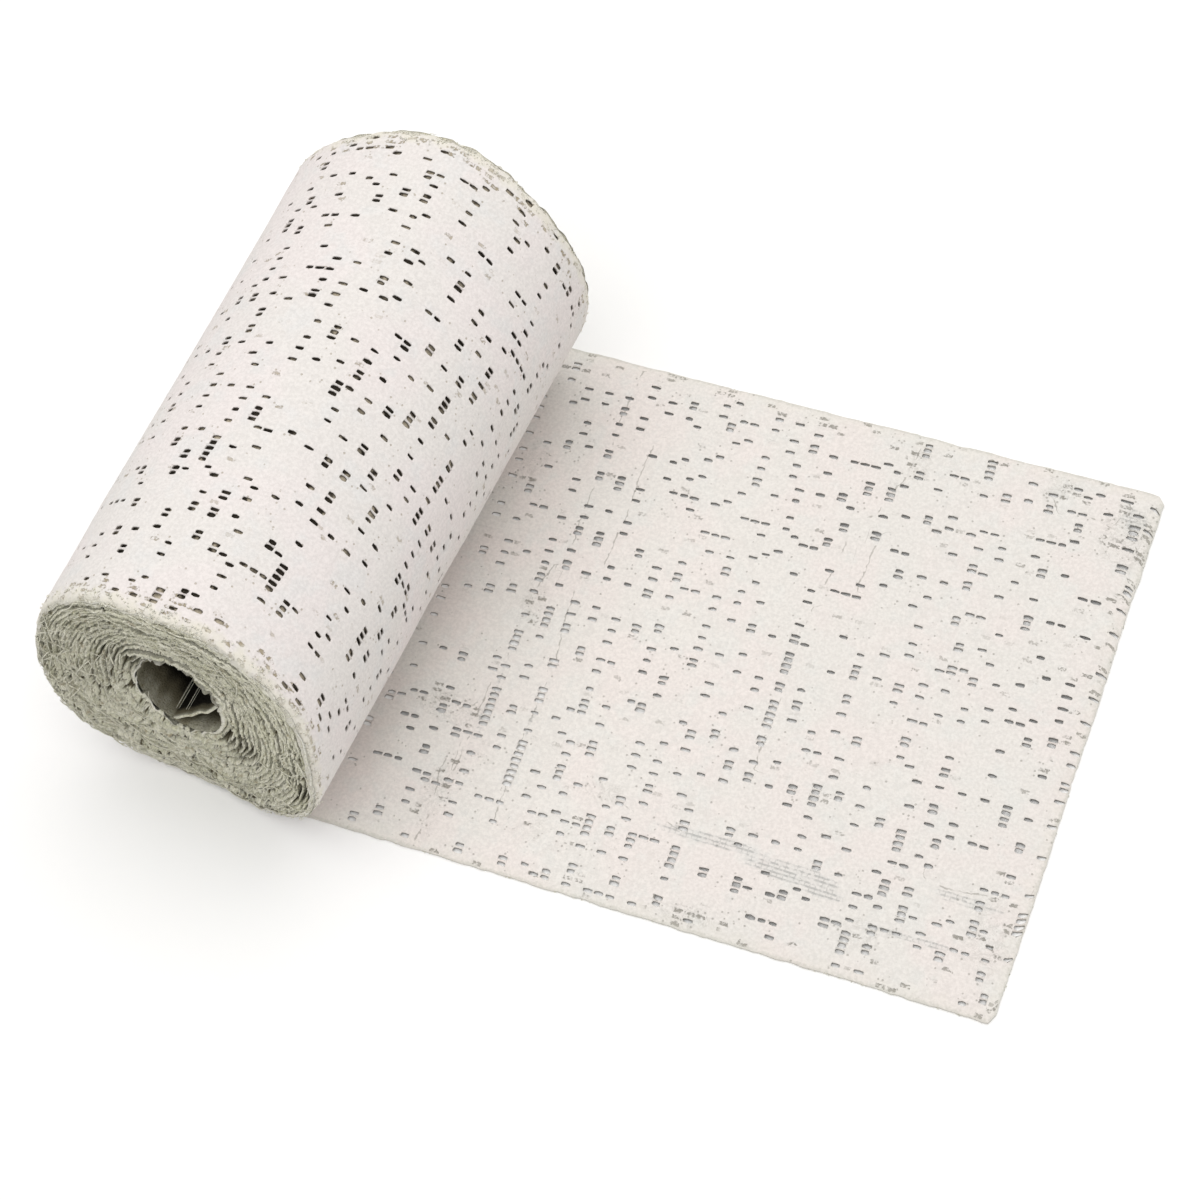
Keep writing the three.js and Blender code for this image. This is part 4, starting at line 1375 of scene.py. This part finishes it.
def plaster_material(name, base, warm, cool, mark, painted_hole_shade, worn_marks, worn_cream):
    """Plaster skimmed over gauze: mottled, with half-open cells, pin holes, cracks and bare threads,
    and painted shade in its holes, below it and between its bare threads.
    """
    recipe = Recipe(name)
    noise, ramp, mix = recipe.noise, recipe.ramp, recipe.mix
    edge = recipe.field("edge")
    crackle = recipe.field("crackle")
    patchy = noise(5.5, 3.0, 0.6, (31.0, 7.0, 3.0))
    grain = noise(0.55, 3.0, 0.65)
    colour = mix(ramp(noise(14.0), 0.4, 0.62), base, warm)
    colour = mix(ramp(patchy, 0.5, 0.68, 0.0, 0.6), colour, cool)
    colour = mix(1.0, colour, ramp(grain, 0.3, 0.72, 0.9, 1.03), "MULTIPLY")

    # Half-open cells of the gauze. Each cell has a number of its own.
    in_cells = recipe.stretch(recipe.field("cell", "Vector"), (1 / CELL_LENGTH, 1 / CELL_WIDTH, 0.0))
    cell_u, cell_w = recipe.add("ShaderNodeSeparateXYZ", [0, 1], {0: in_cells})
    number = recipe.add("ShaderNodeVectorMath", [0], {0: in_cells}, operation="FLOOR")
    luck = recipe.add("ShaderNodeTexWhiteNoise", ["Value"], {"Vector": number}, noise_dimensions="3D")
    wobble = (noise(0.5, 1.0) - 0.5) * 0.5
    in_u = ramp(cell_u.from_middle() + wobble, 0.44, 0.34)
    in_w = ramp(cell_w.from_middle() + wobble, 0.34, 0.2)
    in_cell = in_u * in_w
    worn_rim = edge + noise(2.2) * 6.0
    worn = ramp(worn_rim, 9.0, 4.0)
    half_open = ramp(luck + (crackle * 0.2 + worn * worn_marks), 0.95, 1.02)
    crumbled = ramp(noise(0.55, 3.0, 0.6, (9.0, 4.0, 6.0)), 0.4, 0.58)
    dimple = in_cell * half_open * crumbled
    colour = mix(dimple * 0.9, colour, mark)

    # Worn rims: crumbled cream plaster
    colour = mix(ramp(worn_rim, 6.2, 3.2, 0.0, worn_cream), colour, rgb(0.80, 0.765, 0.655))

    # Pin holes and specks, in loose clusters
    speck_inputs = {"Vector": recipe.mm, "Scale": 1.0, "Randomness": 1.0}
    to_speck, tint = recipe.add("ShaderNodeTexVoronoi", ["Distance", "Color"], speck_inputs)
    speck_luck = recipe.add("ShaderNodeSeparateColor", [0], {0: tint})
    rare = ramp(noise(4.0), 0.45, 0.68) + crackle + speck_luck + worn * worn_marks
    speck = ramp(rare, 1.04, 1.22) * ramp(to_speck, 0.25, 0.1) * 0.55
    colour = mix(speck, colour, mark)

    # Cracks: a thin broken dark line along the stored distance
    stray = (noise(2.2, 3.0, 0.7) - 0.5) * 1.3
    to_crack = abs(recipe.field("crack") + stray)
    line = ramp(to_crack - noise(1.3, 1.0) * 0.26, 0.04, -0.1)
    line = line * ramp(recipe.field("crack_near"), 0.0, 0.25)
    line = line * ramp(noise(3.0, 1.0, 0.5, (5.0, 50.0, 9.0)), 0.45, 0.52)

    # Crackled places: short wandering lines where smooth noise crosses its middle
    crazed = []
    for size, offset in ((2.3, (2.0, 3.0, 5.0)), (1.5, (60.0, 20.0, 7.0))):
        wander = noise(size, 3.0, 0.62, offset, distortion=0.8)
        crazed.append(ramp(abs(wander - 0.5), 0.03, 0.008))
    net_line = recipe.math("MAXIMUM", *crazed) * ramp(crackle + noise(2.0), 0.8, 1.25)
    lines = recipe.math("MAXIMUM", line * 0.75, net_line * 0.26)
    colour = mix(lines * 0.8, colour, mark)

    # Bare threads along the strip where the plaster has come off: grey, with painted shade in the
    # grooves between them
    between = ramp((cell_w * 1.5).from_middle(), 0.22, 0.4)
    post = ramp((cell_u * 2.0).from_middle(), 0.4, 0.47)
    come_off = ramp(recipe.field("bare") + noise(1.3, 3.0, 0.65), 0.88, 1.25)
    uneven = ramp(noise(0.9, 2.0, 0.6, (70.0, 1.0, 2.0)), 0.35, 0.6)
    groove = recipe.math("MAXIMUM", between, post * 0.6) * come_off * uneven
    colour = mix(come_off * 0.16, colour, rgb(0.56, 0.585, 0.58))
    colour = mix(groove * 0.5, colour, rgb(0.30, 0.31, 0.30))

    # Selvages and the cut end: grey-green thread with little plaster
    greyed = ramp(edge - noise(0.7, 3.0, 0.7, (3.0, 9.0, 1.0)) * 1.9, -0.2, -0.9)
    colour = mix(greyed * 0.4, colour, rgb(0.47, 0.47, 0.41))

    # Painted shade inside the holes and below the sheet, darker with the stored depth
    colour = mix(ramp(recipe.field("depth"), 0.2, 0.95), colour, painted_hole_shade)
    relief = grain * 0.6 + (1.0 - in_cell) * 0.25 - dimple * 2.2 - groove * 1.6 - speck * 2.5
    return recipe.finish(colour, 0.9, 0.2, relief + noise(2.4) * 1.2, 0.05)


def thread_material(name):
    """Edges of wound gauze: cream and grey-green threads, with painted shade between the turns."""
    recipe = Recipe(name)
    noise, ramp = recipe.noise, recipe.ramp
    painted_cavity_shade = recipe.field("painted_cavity_shade")
    thread = recipe.field("thread", "Vector")
    streak = noise(1.0, 3.0, 0.6, vector=recipe.stretch(thread, (0.7, 3.2, 1.0)))
    hatch = noise(1.0, 2.0, 0.6, vector=recipe.stretch(thread, (2.6, 1.1, 1.0)))
    fine = noise(0.3, 3.0, 0.7)
    patch = noise(2.6, 3.0, 0.6)
    stain = ramp(noise(1.5, 3.0, 0.65, (40.0, 2.0, 11.0)), 0.57, 0.72)
    flecks = ramp(noise(0.4, 2.0, 0.65, (12.0, 30.0, 4.0)), 0.55, 0.64)
    pale = ramp(recipe.field("mottle") * 0.22 + patch, 0.3, 0.68)
    colour = recipe.mix(pale, rgb(0.80, 0.785, 0.61), rgb(0.96, 0.935, 0.79))
    layers = [
        (ramp(streak, 0.4, 0.64, 0.0, 0.5), rgb(0.54, 0.545, 0.40)),
        (ramp(hatch, 0.5, 0.68, 0.0, 0.75), rgb(0.94, 0.92, 0.80)),
        (stain * 0.65, rgb(0.36, 0.28, 0.15)),
        (ramp(fine, 0.57, 0.7) * 0.65, rgb(0.2, 0.18, 0.11)),
        (flecks * 0.6, rgb(0.96, 0.945, 0.82)),
        (recipe.field("plaster") * ramp(patch, 0.3, 0.6, 0.4, 0.9), rgb(0.87, 0.85, 0.77)),
        # Painted shade from the stored field: olive-brown, then near black
        (ramp(painted_cavity_shade, 0.12, 0.95), rgb(0.17, 0.15, 0.095)),
        (ramp(painted_cavity_shade, 0.95, 1.3), rgb(0.014, 0.012, 0.008)),
    ]
    for share, tint in layers:
        colour = recipe.mix(share, colour, tint)
    relief = fine * 0.8 + noise(0.9) + (hatch + streak)
    return recipe.finish(colour, 0.95, 0.15, relief, 0.28)


def painted_dark_turn_material(name):
    """The turn below, painted dark as the shade under the open cells: near black, with tan places."""
    recipe = Recipe(name)
    fine = recipe.noise(0.8)
    pale = recipe.ramp(recipe.noise(3.0, 2.0, 0.6) + recipe.field("rim") * 0.16, 0.48, 0.6)
    colour = recipe.mix(pale, rgb(0.045, 0.038, 0.03), rgb(0.60, 0.53, 0.41))
    colour = recipe.mix(recipe.ramp(fine, 0.35, 0.75, 0.0, 0.5), colour, rgb(0.05, 0.042, 0.03))
    return recipe.finish(colour, 0.95, 0.1, fine, 0.1)


def floor_material():
    recipe = Recipe("pale_floor")
    colour = recipe.mix(recipe.noise(120.0), rgb(0.93, 0.93, 0.93), rgb(0.95, 0.95, 0.95))
    recipe.put(recipe.shader.inputs["Emission Color"], rgb(1.0, 1.0, 1.0))
    recipe.put(recipe.shader.inputs["Emission Strength"], FLOOR_GLOW)
    return recipe.finish(colour, 0.85, 0.1)


# Camera, light and floor

CAMERA_PLACE = (0.14534, -0.20004, 0.44704)
CAMERA_AZIMUTH = math.radians(37.039)
CAMERA_ELEVATION = math.radians(60.304)
CAMERA_ROLL = math.radians(-13.543)
CAMERA_LENS = 89.45
SENSOR_WIDTH = 36.0
KEY_TOWARDS = (-0.02, 0.08, 1.0)
KEY_DISTANCE = 1.5
KEY_SIZE = 2.4
KEY_POWER = 22.0
KEY_COLOUR = (1.0, 0.985, 0.965)
SKY_STRENGTH = 0.5
FLOOR_GLOW = 0.05
FLOOR_HALF = 3.0


def add_camera():
    azimuth, elevation = CAMERA_AZIMUTH, CAMERA_ELEVATION
    back = Vector(
        (
            math.sin(azimuth) * math.cos(elevation),
            -math.cos(azimuth) * math.cos(elevation),
            math.sin(elevation),
        )
    )
    level_right = (-back).cross(Vector((0, 0, 1))).normalized()
    level_up = level_right.cross(-back)
    cos_roll, sin_roll = math.cos(CAMERA_ROLL), math.sin(CAMERA_ROLL)
    right = level_right * cos_roll + level_up * sin_roll
    up = level_up * cos_roll - level_right * sin_roll
    data = bpy.data.cameras.new("camera")
    data.lens = CAMERA_LENS
    data.sensor_width = SENSOR_WIDTH
    camera = add_object("camera", data)
    turn = Matrix((right, up, back)).transposed().to_4x4()
    camera.matrix_world = Matrix.Translation(Vector(CAMERA_PLACE)) @ turn
    bpy.context.scene.camera = camera


def add_lights():
    towards = Vector(KEY_TOWARDS).normalized()
    data = bpy.data.lights.new("soft_key", "AREA")
    data.shape = "DISK"
    data.size = KEY_SIZE
    data.energy = KEY_POWER
    data.color = KEY_COLOUR
    key = add_object("soft_key", data)
    turn = towards.to_track_quat("Z", "Y").to_matrix().to_4x4()
    key.matrix_world = Matrix.Translation(towards * KEY_DISTANCE) @ turn
    world = bpy.data.worlds.new("white_studio")
    world.use_nodes = True
    background = world.node_tree.nodes["Background"]
    background.inputs["Color"].default_value = rgb(1.0, 1.0, 1.0)
    background.inputs["Strength"].default_value = SKY_STRENGTH
    bpy.context.scene.world = world
    bpy.context.scene.view_settings.view_transform = "Standard"


def add_floor():
    half = FLOOR_HALF
    mesh = bpy.data.meshes.new("floor")
    corners = [(-half, -half, 0), (half, -half, 0), (half, half, 0), (-half, half, 0)]
    mesh.from_pydata(corners, [], [(0, 1, 2, 3)])
    mesh.materials.append(floor_material())
    add_object("floor", mesh)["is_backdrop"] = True


def build_bandage():
    loose_plaster = plaster_material(
        "plaster_on_loose_end",
        base=rgb(0.80, 0.77, 0.73),
        warm=rgb(0.82, 0.765, 0.73),
        cool=rgb(0.78, 0.77, 0.735),
        mark=rgb(0.30, 0.285, 0.25),
        # Painted shade in the holes and below the sheet
        painted_hole_shade=rgb(0.24, 0.23, 0.20),
        worn_marks=0.14,
        worn_cream=0.15,
    )
    roll_plaster = plaster_material(
        "plaster_on_roll",
        base=rgb(0.82, 0.785, 0.755),
        warm=rgb(0.84, 0.785, 0.765),
        cool=rgb(0.79, 0.78, 0.765),
        mark=rgb(0.34, 0.28, 0.18),
        # Painted shade in the holes and below the turn, darker than on the loose end
        painted_hole_shade=rgb(0.12, 0.10, 0.075),
        worn_marks=0.42,
        worn_cream=0.75,
    )
    threads = thread_material("wound_threads")
    build_loose_end(loose_plaster)
    build_inner_turn(painted_dark_turn_material("turn_painted_dark"))
    build_outer_turn(roll_plaster)
    build_end_face("end_face_front", True, threads)
    build_end_face("end_face_back", False, threads)
    build_bore(threads)
    build_inner_end(threads)
    rng = np.random.default_rng(THREADS_SEED)
    stray = face_threads(rng, True, STRAYS_IN_FRONT) + face_threads(rng, False, STRAYS_BEHIND)
    build_threads("stray_threads", stray, threads, 0.0)
    build_threads("edge_fuzz", edge_fuzz(rng, FUZZ_TRIES), threads, 0.1)
    # The threads in the core get a little painted shade
    build_threads("core_threads", core_streaks(), threads, 0.3)
    build_crumbs(threads)


add_camera()
add_floor()
build_bandage()
add_lights()

sizes = {"cad": cad_bounds, "visual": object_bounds()}
{key: [list(corner) for corner in value] for key, value in sizes.items()}
